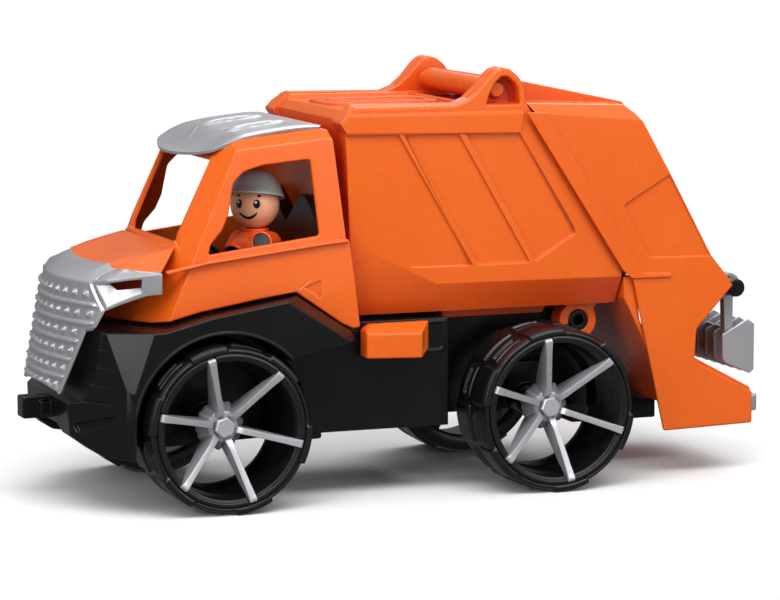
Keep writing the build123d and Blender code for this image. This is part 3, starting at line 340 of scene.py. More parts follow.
def dress(node):
    """Keep the CAD piece itself, lightly rounded by modifiers."""
    item = NODES[node]
    item.data.materials.clear()
    item.data.materials.append(MATERIALS[SLOT[node]])
    modifier(item, "weld", "WELD", merge_threshold=0.00001)
    modifier(item, "flat", "DECIMATE", decimate_type="DISSOLVE", angle_limit=math.radians(0.6))
    modifier(item, "round", "BEVEL", width=0.3 * MM, segments=2, limit_method="ANGLE",
             angle_limit=math.radians(26.0), miter_outer="MITER_ARC", use_clamp_overlap=True,
             harden_normals=False)
    modifier(item, "normals", "WEIGHTED_NORMAL", keep_sharp=False, weight=60)
    for face in item.data.polygons:
        face.use_smooth = True


def heading(edge, vert):
    return (edge.other_vert(vert).co - vert.co).normalized()


def edge_pairs(vert, known):
    """Pairs of the known edges at a vertex, each with the dot product of their headings."""
    edges = [e for e in vert.link_edges if e.index in known]
    for i, a in enumerate(edges):
        for b in edges[i + 1:]:
            yield a, b, heading(a, vert).dot(heading(b, vert))


def sharp_groups(bm):
    """Sharp edges, and which run of nearly straight sharp edges each belongs to."""
    sharp = [e for e in bm.edges if is_sharp(e, math.radians(SHARP_ANGLE))]
    ids = {e.index: e.index for e in sharp}

    def root(i):
        while ids[i] != i:
            ids[i] = ids[ids[i]]
            i = ids[i]
        return i

    for vert in bm.verts:
        for a, b, dot in edge_pairs(vert, ids):
            if dot < STRAIGHT_ON:
                ids[root(a.index)] = root(b.index)
    return sharp, {i: root(i) for i in ids}


def rounding_widths(bm, width):
    """Width in metres for each sharp edge, held back where its neighbours are close."""
    sharp, group = sharp_groups(bm)
    samples = []
    for edge in sharp:
        a, b = edge.verts[0].co, edge.verts[1].co
        n = max(1, int((b - a).length / SAMPLE_STEP))
        for k in range(n + 1):
            samples.append((a.lerp(b, (k + 0.5) / (n + 1)), edge.index))
    tree = KDTree(len(samples))
    for i, (point, _) in enumerate(samples):
        tree.insert(point, i)
    tree.balance()
    widths = {e.index: width for e in sharp}
    touching = {e.index: {f.index for v in e.verts for f in v.link_edges} for e in sharp}
    for point, index in samples:
        for _, i, distance in tree.find_range(point, width / ROOM_SHARE):
            other = samples[i][1]
            if other not in touching[index] and group[other] != group[index]:
                widths[index] = min(widths[index], distance * ROOM_SHARE)
    for edge in sharp:
        for vert in edge.verts:
            ahead = heading(edge, vert)
            for other in vert.link_edges:
                if other is not edge and heading(other, vert).dot(ahead) >= STRAIGHT_ON:
                    room = other.calc_length() * ROOM_SHARE
                    widths[edge.index] = min(widths[edge.index], room)
    for _ in range(3):
        for edge in sharp:
            i = edge.index
            for vert in edge.verts:
                for other in vert.link_edges:
                    j = other.index
                    if j in widths and other is not edge and group[j] == group[i]:
                        widths[i] = min(widths[i], widths[j] + WIDTH_STEP)
    for vert in bm.verts:
        for a, b, dot in edge_pairs(vert, widths):
            if dot > HAIRPIN:
                widths[a.index] = widths[b.index] = 0.0
    return widths


def rounded(node, width_mm):
    """The node's own form with each edge rounded only as far as its neighbours leave room."""
    width = width_mm * MM
    bm = bmesh.new()
    bm.from_mesh(NODES[node].data)
    bmesh.ops.remove_doubles(bm, verts=bm.verts, dist=0.00002)
    bmesh.ops.dissolve_limit(bm, angle_limit=math.radians(0.5), verts=bm.verts, edges=bm.edges,
                             use_dissolve_boundaries=False)
    bmesh.ops.dissolve_degenerate(bm, dist=0.00002, edges=bm.edges)
    bm.edges.index_update()
    widths = rounding_widths(bm, width)
    layers = bm.edges.layers.float
    layer = layers.get("bevel_weight_edge") or layers.new("bevel_weight_edge")
    for edge in bm.edges:
        reach = widths.get(edge.index, 0.0)
        edge[layer] = reach / width if reach > 0.00004 else 0.0
    name = node + "_moulding"
    mesh = mesh_from(bm, name)
    mesh.materials.append(MATERIALS[SLOT[node]])
    for face in mesh.polygons:
        face.use_smooth = True
        face.material_index = 0
    item = place(name, mesh)
    modifier(item, "round", "BEVEL", width=width, segments=3, limit_method="WEIGHT",
             use_clamp_overlap=False, miter_outer="MITER_ARC")
    settle(item)
    low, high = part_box(node)
    for vert in item.data.vertices:
        vert.co = [min(max(c, a), b) for c, a, b in zip(vert.co, low, high)]
    settle_on(item, node)


def inside(outline, p):
    """Whether the outline winds round the point."""
    winding = 0
    for i, a in enumerate(outline):
        b = outline[(i + 1) % len(outline)]
        side = (b.x - a.x) * (p.y - a.y) - (p.x - a.x) * (b.y - a.y)
        if a.y <= p.y < b.y and side > 0:
            winding += 1
        elif b.y <= p.y < a.y and side < 0:
            winding -= 1
    return winding != 0


def split_face(bm, face):
    """Replace a face by triangles worked out in its own plane, in millimetres."""
    normal = face.normal
    across = normal.orthogonal().normalized()
    along = normal.cross(across)
    corners = list(face.verts)
    base = corners[0].co.copy()
    outline = [Vector(((v.co - base).dot(across) * 1000.0, (v.co - base).dot(along) * 1000.0))
               for v in corners]
    points, _, triangles, source, _, _ = delaunay_2d_cdt(
        outline, [], [list(range(len(corners)))], 1, 1e-5, True)
    made = {}

    def vert(i):
        if i not in made:
            made[i] = corners[source[i][0]] if source[i] else bm.verts.new(
                base + across * (points[i].x / 1000.0) + along * (points[i].y / 1000.0))
        return made[i]

    bm.faces.remove(face)
    for t in triangles:
        if not inside(outline, (points[t[0]] + points[t[1]] + points[t[2]]) / 3.0):
            continue
        q = [vert(i) for i in t]
        if len(set(q)) < 3:
            continue
        if (q[1].co - q[0].co).cross(q[2].co - q[0].co).dot(normal) < 0:
            q.reverse()
        # A triangle on these corners may already be there.
        try:
            bm.faces.new(q).smooth = True
        except ValueError:
            pass


def settle(item):
    """Apply the rounding, split faces too thin to fill cleanly, keep unrounded edges crisp."""
    mesh = apply_modifiers(item)
    mesh.calc_loop_triangles()
    filled = {}
    for t in mesh.loop_triangles:
        filled[t.polygon_index] = filled.get(t.polygon_index, 0.0) + t.area
    overfilled = {p.index for p in mesh.polygons if len(p.vertices) > 3
                  and filled.get(p.index, 0.0) > p.area * 1.02 + 1e-7}
    with editing(mesh) as bm:
        bm.faces.ensure_lookup_table()
        for face in [bm.faces[i] for i in overfilled]:
            split_face(bm, face)
        keep_crisp(bm, 40.0)
    mesh.name = item.name
    modifier(item, "normals", "WEIGHTED_NORMAL", weight=60, keep_sharp=True)


for node_name in NODES:
    if node_name in MOULDED:
        rounded(node_name, MOULDED[node_name])
    elif node_name not in MODELLED:
        dress(node_name)


# ------------------------------------------------------------------ modelling helpers
def smooth_step(start, stop, x):
    t = np.clip((np.asarray(x, float) - start) / (stop - start), 0.0, 1.0)
    return t * t * (3 - 2 * t)


def grid_faces(columns, rows, wrap_columns=False, wrap_rows=False):
    """Quads of a grid whose vertices are numbered row * columns + column."""
    faces = []
    for v in range(rows if wrap_rows else rows - 1):
        for u in range(columns if wrap_columns else columns - 1):
            here, above = v * columns, ((v + 1) % rows) * columns
            after = (u + 1) % columns
            faces.append((here + u, here + after, above + after, above + u))
    return faces


def make(name, verts, faces, material, crease=38.0, flip=False):
    """An object from millimetre vertices; edges sharper than the crease stay crisp."""
    mesh = bpy.data.meshes.new(name)
    mesh.from_pydata([tuple(float(c) * MM for c in p) for p in verts], [],
                     [tuple(reversed(f)) if flip else tuple(f) for f in faces])
    mesh.materials.append(MATERIALS[material])
    with editing(mesh) as bm:
        for face in bm.faces:
            face.smooth = True
        keep_crisp(bm, crease)
    return place(name, mesh)


def joined(name, parts, material, crease, weighted=False):
    """Several finished meshes as one piece."""
    bm = bmesh.new()
    for part in parts:
        bm.from_mesh(apply_modifiers(part))
    for face in bm.faces:
        face.smooth = True
        face.material_index = 0
    keep_crisp(bm, crease)
    mesh = mesh_from(bm, name)
    mesh.materials.append(MATERIALS[material])
    for part in parts:
        bpy.data.objects.remove(part)
    item = place(name, mesh)
    if weighted:
        modifier(item, "normals", "WEIGHTED_NORMAL", keep_sharp=True)
    return item


def face_towards(item, axis, tidy=False):
    """Turn the skin so that it looks along the positive axis on the whole."""
    with editing(item.data) as bm:
        if tidy:
            recalculate(bm)
        bm.normal_update()
        if sum(f.normal[axis] * f.calc_area() for f in bm.faces) < 0:
            bmesh.ops.reverse_faces(bm, faces=bm.faces)


def box_start(node):
    """Rear end of a node's box, mm."""
    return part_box(node)[0].x / MM


# ------------------------------------------------------------------ wheels
REPEATS = 6                 # tread blocks and rim blades in a turn
PITCH = 360.0 / REPEATS     # degrees
# Wheel, turn in degrees, side along Y.
WHEELS = (("wheel_front_left", 73.3, 1), ("wheel_front_right", 41.0, -1),
          ("wheel_rear_left", 79.6, 1), ("wheel_rear_right", 97.0, -1))


def wheel_ring(wheel, side, turn, radius, y):
    """Points round the wheel's axle; y is the distance out from the lorry's middle."""
    low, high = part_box("front_axle" if "front" in wheel else "rear_axle")
    axle = (low + high) / 2 / MM
    return zip(axle.x + radius * np.cos(turn), np.broadcast_to(side * y, turn.shape),
               axle.z + radius * np.sin(turn))


# ---- tyres: moulded blocks, grooves and notches for the spoke tips
TYRE_RADIUS = 45.0
GROOVE_RADIUS = 43.1
TREAD_INNER, TREAD_OUTER = 46.9, 81.0   # y of the tread's ends
BLOCK_ANGLE = 13.5                      # degrees each side of a block's middle
NOTCH_ANGLE, NOTCH_Y = 3.4, 80.4
ANGLE_BLUR, Y_BLUR = 0.6, 0.4           # half-width of each step, degrees and mm
# Top radius, angle, whether it lies beyond that angle, y from and to.
TREAD_BLOCKS = (
    (TYRE_RADIUS, BLOCK_ANGLE, False, 68.5, 99.0), (TYRE_RADIUS, 16.5, True, 48.0, 65.5),
    (44.5, 18.0, True, 70.5, 80.0), (44.5, 11.5, False, 51.0, 63.0),
)
# Angle, whether it lies beyond that angle, y from and to.
TREAD_GROOVES = ((20.5, True, 73.5, 77.0), (9.5, False, 55.5, 58.5))
# Sections as (radius, y).
TYRE_INNER_EDGE = ((34.4, 45.0), (41.4, 45.0), (42.6, 45.4), (43.2, 46.4))
SHOULDER_BETWEEN = ((43.8, 81.5), (43.7, 82.4), (43.3, 83.4), (43.05, 84.2), (42.7, 85.0),
                    (42.3, 85.3), (41.3, 85.3), (41.1, 85.15))
SHOULDER_ON_BLOCK = ((45.0, 81.5), (45.0, 83.8), (44.85, 84.25), (44.5, 84.5), (44.4, 85.5),
                     (43.9, 86.0), (41.3, 86.0), (41.1, 85.85))
TYRE_BORE = (
    (41.0, 84.0), (40.55, 84.0), (40.45, 85.55), (40.2, 85.8), (38.5, 85.8), (38.2, 85.6),
    (38.1, 84.75), (37.1, 84.75), (36.8, 84.5), (36.6, 83.2), (36.2, 81.0), (35.9, 79.0),
    (35.7, 74.0), (35.4, 64.0), (34.7, 62.6), (34.2, 58.0), (34.0, 50.0), (34.0, 45.4),
)


def tyre_angles():
    """Angles round the tyre in degrees, closer together at each step."""
    half = {0.0, 6.5, 23.0, 25.5, 28.0, PITCH / 2}
    steps = [b[1] for b in TREAD_BLOCKS] + [g[0] for g in TREAD_GROOVES] + [NOTCH_ANGLE]
    for step in steps:
        half |= {step - ANGLE_BLUR, step - 0.2, step + 0.2, step + ANGLE_BLUR}
    offsets = sorted(half | {-h for h in half if 0 < h < PITCH / 2})
    return np.array([offset + PITCH * k for k in range(REPEATS) for offset in offsets])


def tread_stations():
    """Places of the tread's rows along y."""
    stations = {TREAD_INNER, TREAD_OUTER}
    for step in [y for row in TREAD_BLOCKS + TREAD_GROOVES for y in row[-2:]]:
        if step < TREAD_OUTER:
            stations |= {step - Y_BLUR, step - 0.13, step + 0.13, step + Y_BLUR}
    return sorted(stations)


def tyre_rows(angles):
    """(radius, y) of each row of the tyre, either of them one value or one per angle."""
    off_middle = np.abs((angles + PITCH / 2) % PITCH - PITCH / 2)

    def mask(angle, beyond=False):
        within = 1.0 - smooth_step(angle - ANGLE_BLUR, angle + ANGLE_BLUR, off_middle)
        return 1 - within if beyond else within

    def band(y, start, stop):
        return float(smooth_step(start - Y_BLUR, start + Y_BLUR, y)
                     * (1 - smooth_step(stop - Y_BLUR, stop + Y_BLUR, y)))

    rows = list(TYRE_INNER_EDGE)
    for y in tread_stations():
        base = 43.2 + 0.6 * float(smooth_step(46.4, 49.5, y))
        radius = np.full_like(off_middle, base)
        for top, angle, beyond, start, stop in TREAD_BLOCKS:
            raised = base + (top - base) * mask(angle, beyond) * band(y, start, stop)
            radius = np.maximum(radius, raised)
        for angle, beyond, start, stop in TREAD_GROOVES:
            cut = mask(angle, beyond) * band(y, start, stop)
            radius = radius * (1 - cut) + GROOVE_RADIUS * cut
        rows.append((radius, y))
    block, notch = mask(BLOCK_ANGLE), mask(NOTCH_ANGLE)
    for (r0, y0), (r1, y1) in zip(SHOULDER_BETWEEN, SHOULDER_ON_BLOCK):
        rows.append((r0 + (r1 - r0) * block, y0 + (y1 - y0) * block))
    for radius, y in TYRE_BORE:
        notched = radius < 40.5 and y > NOTCH_Y
        rows.append((radius, y + (NOTCH_Y - y) * notch if notched else y))
    return rows


def tyre(wheel, phase, side):
    angles = tyre_angles()
    turn = np.radians(angles + phase)
    rows = tyre_rows(angles)
    verts = [p for radius, y in rows for p in wheel_ring(wheel, side, turn, radius, y)]
    item = make(wheel + "_tyre_moulding", verts, grid_faces(len(turn), len(rows), True, True),
                "tyre_black", crease=50.0, flip=side < 0)
    settle_on(item, wheel + "_tyre")


# ---- rims: tapering blades round a fluted hub
HUB_SEGMENTS = 216
FLUTE_PITCH = 20.0      # degrees
FLUTE_DEPTH = 1.15
# Section as (radius, y).
HUB_PROFILE = (
    (2.6, 44.8), (5.7, 44.8), (6.0, 45.1), (6.6, 60.0), (7.2, 62.5), (12.2, 62.6),
    (12.9, 62.9), (13.2, 63.5), (13.2, 64.1), (12.9, 64.7), (11.4, 66.3), (9.6, 68.3),
    (8.7, 69.4), (8.3, 69.9), (7.8, 70.15), (7.2, 70.2), (5.35, 70.2), (5.12, 70.0),
    (5.1, 66.3), (2.6, 66.25),
)
# Radius, inner y, outer y, half-width.
BLADE_STATIONS = (
    (5.6, 61.0, 71.4, 1.85), (7.4, 61.0, 74.0, 1.8), (10.0, 61.3, 75.5, 1.7),
    (13.0, 61.9, 76.9, 1.62), (22.0, 68.7, 80.7, 1.60), (31.0, 76.2, 84.5, 1.72),
    (35.4, 80.9, 86.3, 1.92), (37.4, 82.0, 87.0, 2.05), (39.0, 82.5, 87.15, 2.1),
    (39.95, 82.6, 85.9, 2.1),
)


def hub(wheel, phase, side):
    turn = np.arange(HUB_SEGMENTS) * 2 * math.pi / HUB_SEGMENTS
    flutes = (np.degrees(turn) - phase - FLUTE_PITCH / 2) / FLUTE_PITCH
    saw = np.abs((flutes + 0.5) % 1.0 - 0.5) * 2.0
    dip = np.clip(1.0 - saw * 1.5, 0.0, 1.0)
    verts = []
    for radius, y in HUB_PROFILE:
        fluted = float(smooth_step(62.7, 63.2, y) * (1 - smooth_step(69.4, 70.15, y)))
        depth = FLUTE_DEPTH * fluted * (1.0 if radius > 8.2 else 0.0)
        dipped = radius - depth * dip * (0.45 + 0.55 * (radius - 8.0) / 5.2)
        verts.extend(wheel_ring(wheel, side, turn, dipped, y))
    faces = grid_faces(HUB_SEGMENTS, len(HUB_PROFILE), True, True)
    return make("hub", verts, faces, "wheel_silver", crease=34.0, flip=side < 0)


def blades(wheel, phase, side):
    low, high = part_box("front_axle" if "front" in wheel else "rear_axle")
    axle = (low + high) / 2 / MM
    bm = bmesh.new()
    for k in range(REPEATS):
        angle = math.radians(phase + PITCH * k)
        c, s = math.cos(angle), math.sin(angle)
        rings = []
        for radius, y0, y1, half in BLADE_STATIONS:
            foot = half + 0.18 if half < 1.9 else half
            rings.append([
                bm.verts.new(((axle.x + radius * c - off * s) * MM, side * y * MM,
                              (axle.z + radius * s + off * c) * MM))
                for y, off in ((y1, half), (y1, -half), (y0, -foot), (y0, foot))])
        for near, far in zip(rings, rings[1:]):
            for i in range(4):
                j = (i + 1) % 4
                bm.faces.new((near[i], near[j], far[j], far[i]))
        bm.faces.new(rings[0])
        bm.faces.new(tuple(reversed(rings[-1])))
    recalculate(bm)
    item = place("blades", mesh_from(bm, "blades"))
    round_edges(item, width=0.42, degrees=28.0, segments=2)
    return item


def rim(wheel, phase, side):
    parts = [hub(wheel, phase, side), blades(wheel, phase, side)]
    item = joined(wheel + "_rim_moulding", parts, "wheel_silver", crease=34.0, weighted=True)
    settle_on(item, wheel + "_rim")


for wheel_spec in WHEELS:
    tyre(*wheel_spec)
    rim(*wheel_spec)

# ------------------------------------------------------------------ grille panel
# Studded and barred front, band over the bonnet's edge, headlamp surrounds.
GRILLE_X = box_start("grille_panel") - 143.6    # shifts the panel's x onto the lorry
TOP_Z, BOTTOM_Z = 121.3, 61.0
TOP_HALF = 44.2             # half-width at the top edge
EDGE_ROUND = 1.3            # where the front starts turning into the band
BAND_HALF = 43.5            # half-width at the band's rear edge
ACROSS = np.linspace(-1.0, 1.0, 201)
BAR_HEIGHTS = (109.6, 99.7, 89.8, 79.9, 70.2)
STUD_HEIGHTS = (114.9, 104.7, 94.8, 84.9, 75.1, 66.2)
STUD_STEP = 4.6             # half the pitch between studs


def front_surface(y, z):
    """x of the bowed front, and the x and y of its normal."""
    drop = (TOP_Z - z) / (TOP_Z - BOTTOM_Z)
    half = 44.0 - 10.0 * drop
    middle_x = 186.6 + 9.6 * drop
    side_x = 177.6 + 14.6 * drop
    x = middle_x - (middle_x - side_x) * (y / half) ** 2
    x = x - 2.5 * (np.clip(np.abs(y) - 40.0, 0.0, None) / 14.2) ** 2
    slope = 2 * (middle_x - side_x) * y / half ** 2
    length = np.sqrt(1 + slope ** 2)
    return x, 1 / length, slope / length


def front_half_width(z):
    if z >= 107.0:
        return TOP_HALF + (TOP_Z - z) * 10.0 / 14.3
    if z >= 98.0:
        return 54.2 - (107.0 - z) * 3.0 / 9.0
    low = 46.0 - 12.0 * max(0.0, (97.0 - z) / 36.0) ** 1.25
    return low + (51.2 - low) * float(smooth_step(96.6, 98.0, z))


def plateau(t):
    return smooth_step(0.0, 1.0, 1.7 * (1.0 - np.abs(t)))


def front_rows():
    rows = []
    for row_z in np.linspace(BOTTOM_Z, TOP_Z - EDGE_ROUND, 118):
        half = front_half_width(float(row_z))
        y = ACROSS * half
        arch = 3.4 * np.clip(1 - (y / 36.0) ** 2, 0.0, 1.0)
        z = row_z + arch * (1 - (row_z - BOTTOM_Z) / (TOP_Z - BOTTOM_Z)) ** 2.5
        x, normal_x, normal_y = front_surface(y, z)
        relief = np.zeros(len(ACROSS))
        from_side = half - np.abs(y)
        room = smooth_step(2.6, 4.2, from_side)
        for bar_z in BAR_HEIGHTS:
            relief = np.maximum(relief, 1.5 * plateau((z - bar_z) / 1.35) * room)
        # Border along the sides, then along the arched bottom.
        relief = np.maximum(relief, plateau((from_side - 1.35) / 1.2))
        border = plateau((z - (BOTTOM_Z + arch) - 1.5) / 1.2)
        relief = np.maximum(relief, border * smooth_step(0.2, 1.2, from_side))
        for stud_z in STUD_HEIGHTS:
            n = int((front_half_width(stud_z) - 5.0) / STUD_STEP)
            for k in range(-n, n + 1, 2):
                off = np.maximum(np.abs(y - k * STUD_STEP), np.abs(z - stud_z))
                relief = np.maximum(relief, 2.5 * np.clip(1.0 - off / 1.95, 0.0, 0.86))
        rows.append(np.stack([x + normal_x * relief + GRILLE_X, y + normal_y * relief, z], 1))
    return rows


def band_rear_x(across):
    return 169.5 - 6.5 * abs(across) ** 2.6


def band_rows(last_row):
    """Rows that turn over the top edge and run back to the bonnet."""
    y = ACROSS * TOP_HALF
    x, _, _ = front_surface(y, TOP_Z)
    edge = np.stack([x + GRILLE_X, y, np.full(len(ACROSS), TOP_Z)], 1)
    x = band_rear_x(ACROSS)
    z = 128.8 + (169.5 - x) * 0.2688 - 2.4 * smooth_step(0.80, 1.0, np.abs(ACROSS))
    rear = np.stack([x + GRILLE_X, ACROSS * BAND_HALF, z], 1)
    back = rear - edge
    back = back / np.linalg.norm(back, axis=1, keepdims=True)
    down = last_row - edge
    down = down / np.linalg.norm(down, axis=1, keepdims=True)
    start, end = edge + down * EDGE_ROUND, edge + back * 1.8
    rows = [(1 - k) ** 2 * start + 2 * k * (1 - k) * edge + k ** 2 * end
            for k in (0.25, 0.5, 0.75)]
    up = np.cross(back, np.tile(np.array([0.0, 1.0, 0.0]), (len(ACROSS), 1)))
    up = up * np.sign(up[:, 2:3])
    for k in np.linspace(0.0, 1.0, 16):
        rows.append(end + (rear - end) * k + up * 0.9 * math.sin(math.pi * k))
    rows.append(rear + np.array([-0.8, 0.0, -0.9]))
    rows.append(rear + np.array([-1.0, 0.0, -3.4]))
    return rows


def grille_front():
    rows = front_rows()
    rows += band_rows(rows[-1])
    verts = [tuple(p) for row in rows for p in row]
    item = make("front", verts, grid_faces(len(ACROSS), len(rows)), "silver")
    face_towards(item, axis=0)
    thicken(item, wall=1.8)
    return item


SURROUND_NORMAL = Vector((0.3527, 0.9357, 0.0))


def on_side(x, z, depth=0.0):
    """A point on the surround's flat side, or sunk behind it."""
    return Vector((x, 64.4 - (x - 146.0) * 9.8 / 26.0, z)) - SURROUND_NORMAL * depth


# Corners of the left headlamp surround. E: upper edge, G: lower edge, T: along the bonnet,
# R: rim of the recess, C, F and S: round the opening in the recess.
LAMP_POINTS = {
    "E1": Vector((177.45, 44.2, 121.3)), "E2": on_side(172.0, 123.1),
    "E3": on_side(154.6, 125.3), "E4": on_side(145.2, 126.2),
    "G4": on_side(145.4, 115.6), "G3": on_side(153.0, 114.8), "G2": on_side(158.6, 112.7),
    "G1": on_side(165.3, 110.3), "G0": Vector((173.1, 54.2, 107.0)),
    "T4": Vector((163.0, 43.5, 128.2)), "T5": Vector((160.5, 50.0, 128.0)),
    "T6": Vector((157.0, 55.0, 127.6)), "T7": Vector((152.0, 59.4, 127.3)),
    "T8": Vector((145.3, 62.4, 126.9)),
    "R1": Vector((176.1, 46.9, 120.0)), "R2": on_side(171.2, 121.6),
    "R3": on_side(155.0, 123.7), "R4": on_side(155.3, 116.4), "R5": on_side(165.3, 112.2),
    "R6": on_side(171.9, 109.2),
    "C2": on_side(170.6, 121.3, 2.6), "C3": on_side(155.2, 123.4, 2.6),
    "F1": on_side(167.3, 117.6, 2.6), "F2": on_side(155.7, 119.0, 2.3),
    "S1": on_side(170.6, 120.2, 2.6),
}
# K: a lip tucked down below each T.
for digit in "45678":
    LAMP_POINTS["K" + digit] = LAMP_POINTS["T" + digit] + Vector((-0.7, -0.9, -4.6))
LAMP_FACES = (
    "E1 E2 T5 T4", "E2 E3 T7 T6 T5", "E3 E4 T8 T7", "E1 R1 R2 E2", "E2 R2 R3 E3",
    "E3 R3 R4 G3 G4 E4", "R4 R5 G1 G2 G3", "R5 R6 G0 G1", "R6 R1 E1 G0", "R5 R4 F2 F1",
    "R1 R6 R5 F1 S1", "R4 R3 C3 F2", "R3 R2 C2 C3", "R2 R1 S1 C2", "T4 T5 K5 K4",
    "T5 T6 K6 K5", "T6 T7 K7 K6", "T7 T8 K8 K7",
)
SIDE_FACE = 5   # the face that must look away from the lorry


def lamp(side):
    bm = bmesh.new()
    verts = {key: bm.verts.new(((p.x + GRILLE_X) * MM, side * p.y * MM, p.z * MM))
             for key, p in LAMP_POINTS.items()}
    faces = [bm.faces.new([verts[key] for key in keys.split()]) for keys in LAMP_FACES]
    recalculate(bm)
    bm.normal_update()
    if faces[SIDE_FACE].normal.y * side < 0:
        bmesh.ops.reverse_faces(bm, faces=bm.faces)
    item = place("lamp", mesh_from(bm, "lamp"))
    thicken(item, wall=1.0, use_even_offset=False)
    round_edges(item, width=0.4, degrees=16.0)
    return item


settle_on(joined("grille_panel_moulding", [grille_front(), lamp(1), lamp(-1)], "silver",
                 crease=36.0), "grille_panel")

# ------------------------------------------------------------------ bonnet skin
# It lies between the windscreen sill and the silver band.
CAB_X = box_start("cab_shell") - 34.4
SILL_X = 132.75
BONNET_COLUMNS, BONNET_ROWS = 61, 41
SKIRT_ROWS = 8
# Height of the bonnet's middle: x, then z.
CREST_X, CREST_Z = [132.4, 154.0, 172.6], [137.2, 132.6, 127.6]
# Foot of the side skirt as (x, distance from the middle, z), rear to front.
SKIRT_FOOT = ((145.2, 62.2, 126.9), (148.6, 60.7, 127.1), (152.0, 59.1, 127.3),
              (157.0, 54.8, 127.6), (160.5, 49.9, 127.8), (163.6, 43.8, 127.0))


def bonnet_top():
    verts = []
    for i in range(BONNET_ROWS):
        v = i / (BONNET_ROWS - 1)
        for j in range(BONNET_COLUMNS):
            across = -1 + 2 * j / (BONNET_COLUMNS - 1)
            x = SILL_X + (band_rear_x(across) + 1.6 - SILL_X) * v
            z = float(np.interp(x, CREST_X, CREST_Z)) + 0.35
            z -= 1.35 * float(smooth_step(0.955, 1.0, v))
            z -= 1.2 * float(smooth_step(0.80, 1.0, abs(across))) * v ** 2
            verts.append((x + CAB_X, across * (45.6 - 2.1 * v), z))
    return verts


def skirt_foot(side):
    """The skirt's foot, one point for each row of the bonnet."""
    points = []
    for i in range(BONNET_ROWS):
        t = i / (BONNET_ROWS - 1) * (len(SKIRT_FOOT) - 1)
        k = min(int(t), len(SKIRT_FOOT) - 2)
        p = Vector(SKIRT_FOOT[k]).lerp(Vector(SKIRT_FOOT[k + 1]), t - k)
        points.append(Vector((p.x + CAB_X, side * p.y, p.z)))
    return points


def bonnet():
    verts = bonnet_top()
    faces = grid_faces(BONNET_COLUMNS, BONNET_ROWS)

    def stitch(previous, points, side):
        row = list(range(len(verts), len(verts) + len(points)))
        verts.extend(points)
        for i in range(len(points) - 1):
            face = (previous[i], previous[i + 1], row[i + 1], row[i])
            faces.append(face if side > 0 else tuple(reversed(face)))
        return row

    for side, column in ((-1, 0), (1, BONNET_COLUMNS - 1)):
        row = [i * BONNET_COLUMNS + column for i in range(BONNET_ROWS)]
        top = [Vector(verts[k]) for k in row]
        foot = skirt_foot(side)
        for q in range(1, SKIRT_ROWS + 1):
            points = [tuple(a.lerp(b, q / SKIRT_ROWS)) for a, b in zip(top, foot)]
            row = stitch(row, points, side)
        # A lip tucked in below the foot.
        stitch(row, [(p.x - 0.6, p.y - side * 1.0, p.z - 4.0) for p in foot], side)

    item = make("bonnet", verts, faces, "orange")
    face_towards(item, axis=2, tidy=True)
    thicken(item, wall=1.4)
    round_edges(item, width=0.5, degrees=14.0)
    item = joined("bonnet_skin", [item], "orange", crease=40.0, weighted=True)
    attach(item, BODY_OF["cab_shell"])


bonnet()

# ------------------------------------------------------------------ roof panel
# One curved plate with two raised lozenges.
ROOF_X = box_start("roof_panel") - 50.0
ROOF_ROWS, ROOF_COLUMNS = 84, 121
ROOF_HALF = 50.6
# Section along the middle as (x, z), rear to front.
ROOF_LINE = np.array([
    (48.0, 199.1), (53.0, 200.3), (62.0, 200.2), (70.0, 199.6), (84.0, 197.9), (95.4, 196.0),
    (102.6, 193.3), (110.0, 189.2), (116.0, 186.6), (124.0, 184.6),
])


def smoothed_roof_line():
    xs = np.linspace(48.0, 124.0, 153)
    zs = np.interp(xs, ROOF_LINE[:, 0], ROOF_LINE[:, 1])
    for _ in range(30):
        zs[1:-1] = (zs[:-2] + 2 * zs[1:-1] + zs[2:]) / 4
    return xs, zs


def roof_relief(x, off):
    """Lozenge with a sunk middle, and the slanting ridge ahead of it."""
    along = (x - 79.0) / 17.0
    across = (off - 20.0) / 5.2 - 0.35 * along
    ring = (abs(along) ** 2.6 + abs(across) ** 2.6) ** (1 / 2.6)
    lozenge = 0.9 * float(1 - smooth_step(0.86, 1.08, ring))
    lozenge -= 0.35 * float(1 - smooth_step(0.60, 0.74, ring))
    ridge = 0.35 * math.exp(-((x - 106.0 + 0.6 * (off - 8.0)) / 0.9) ** 2)
    return lozenge + ridge * float(smooth_step(2.0, 6.0, off) * (1 - smooth_step(20.0, 24.0, off)))


def roof():
    xs, zs = smoothed_roof_line()
    verts = []
    for i in range(ROOF_ROWS):
        for j in range(ROOF_COLUMNS):
            y = (-1 + 2 * j / (ROOF_COLUMNS - 1)) * ROOF_HALF
            off = abs(y)
            rear = 50.0 + 3.0 * max(0.0, (off - 44.0) / 6.6) ** 2
            front = 122.0 - 11.6 * (off / 49.0) ** 2 - 9.0 * max(0.0, (off - 43.0) / 7.6) ** 2.2
            x = rear + (front - rear) * (i / (ROOF_ROWS - 1))
            z = float(np.interp(x, xs, zs)) - 0.9 * max(0.0, (off - 45.0) / 5.6) ** 2
            verts.append((x + ROOF_X, y, z + roof_relief(x, off)))
    item = make("roof", verts, grid_faces(ROOF_COLUMNS, ROOF_ROWS), "silver")
    face_towards(item, axis=2)
    thicken(item, wall=1.65)
    round_edges(item, width=0.6, degrees=50.0)
    item = joined("roof_panel_moulding", [item], "silver", crease=36.0, weighted=True)
    settle_on(item, "roof_panel")


roof()

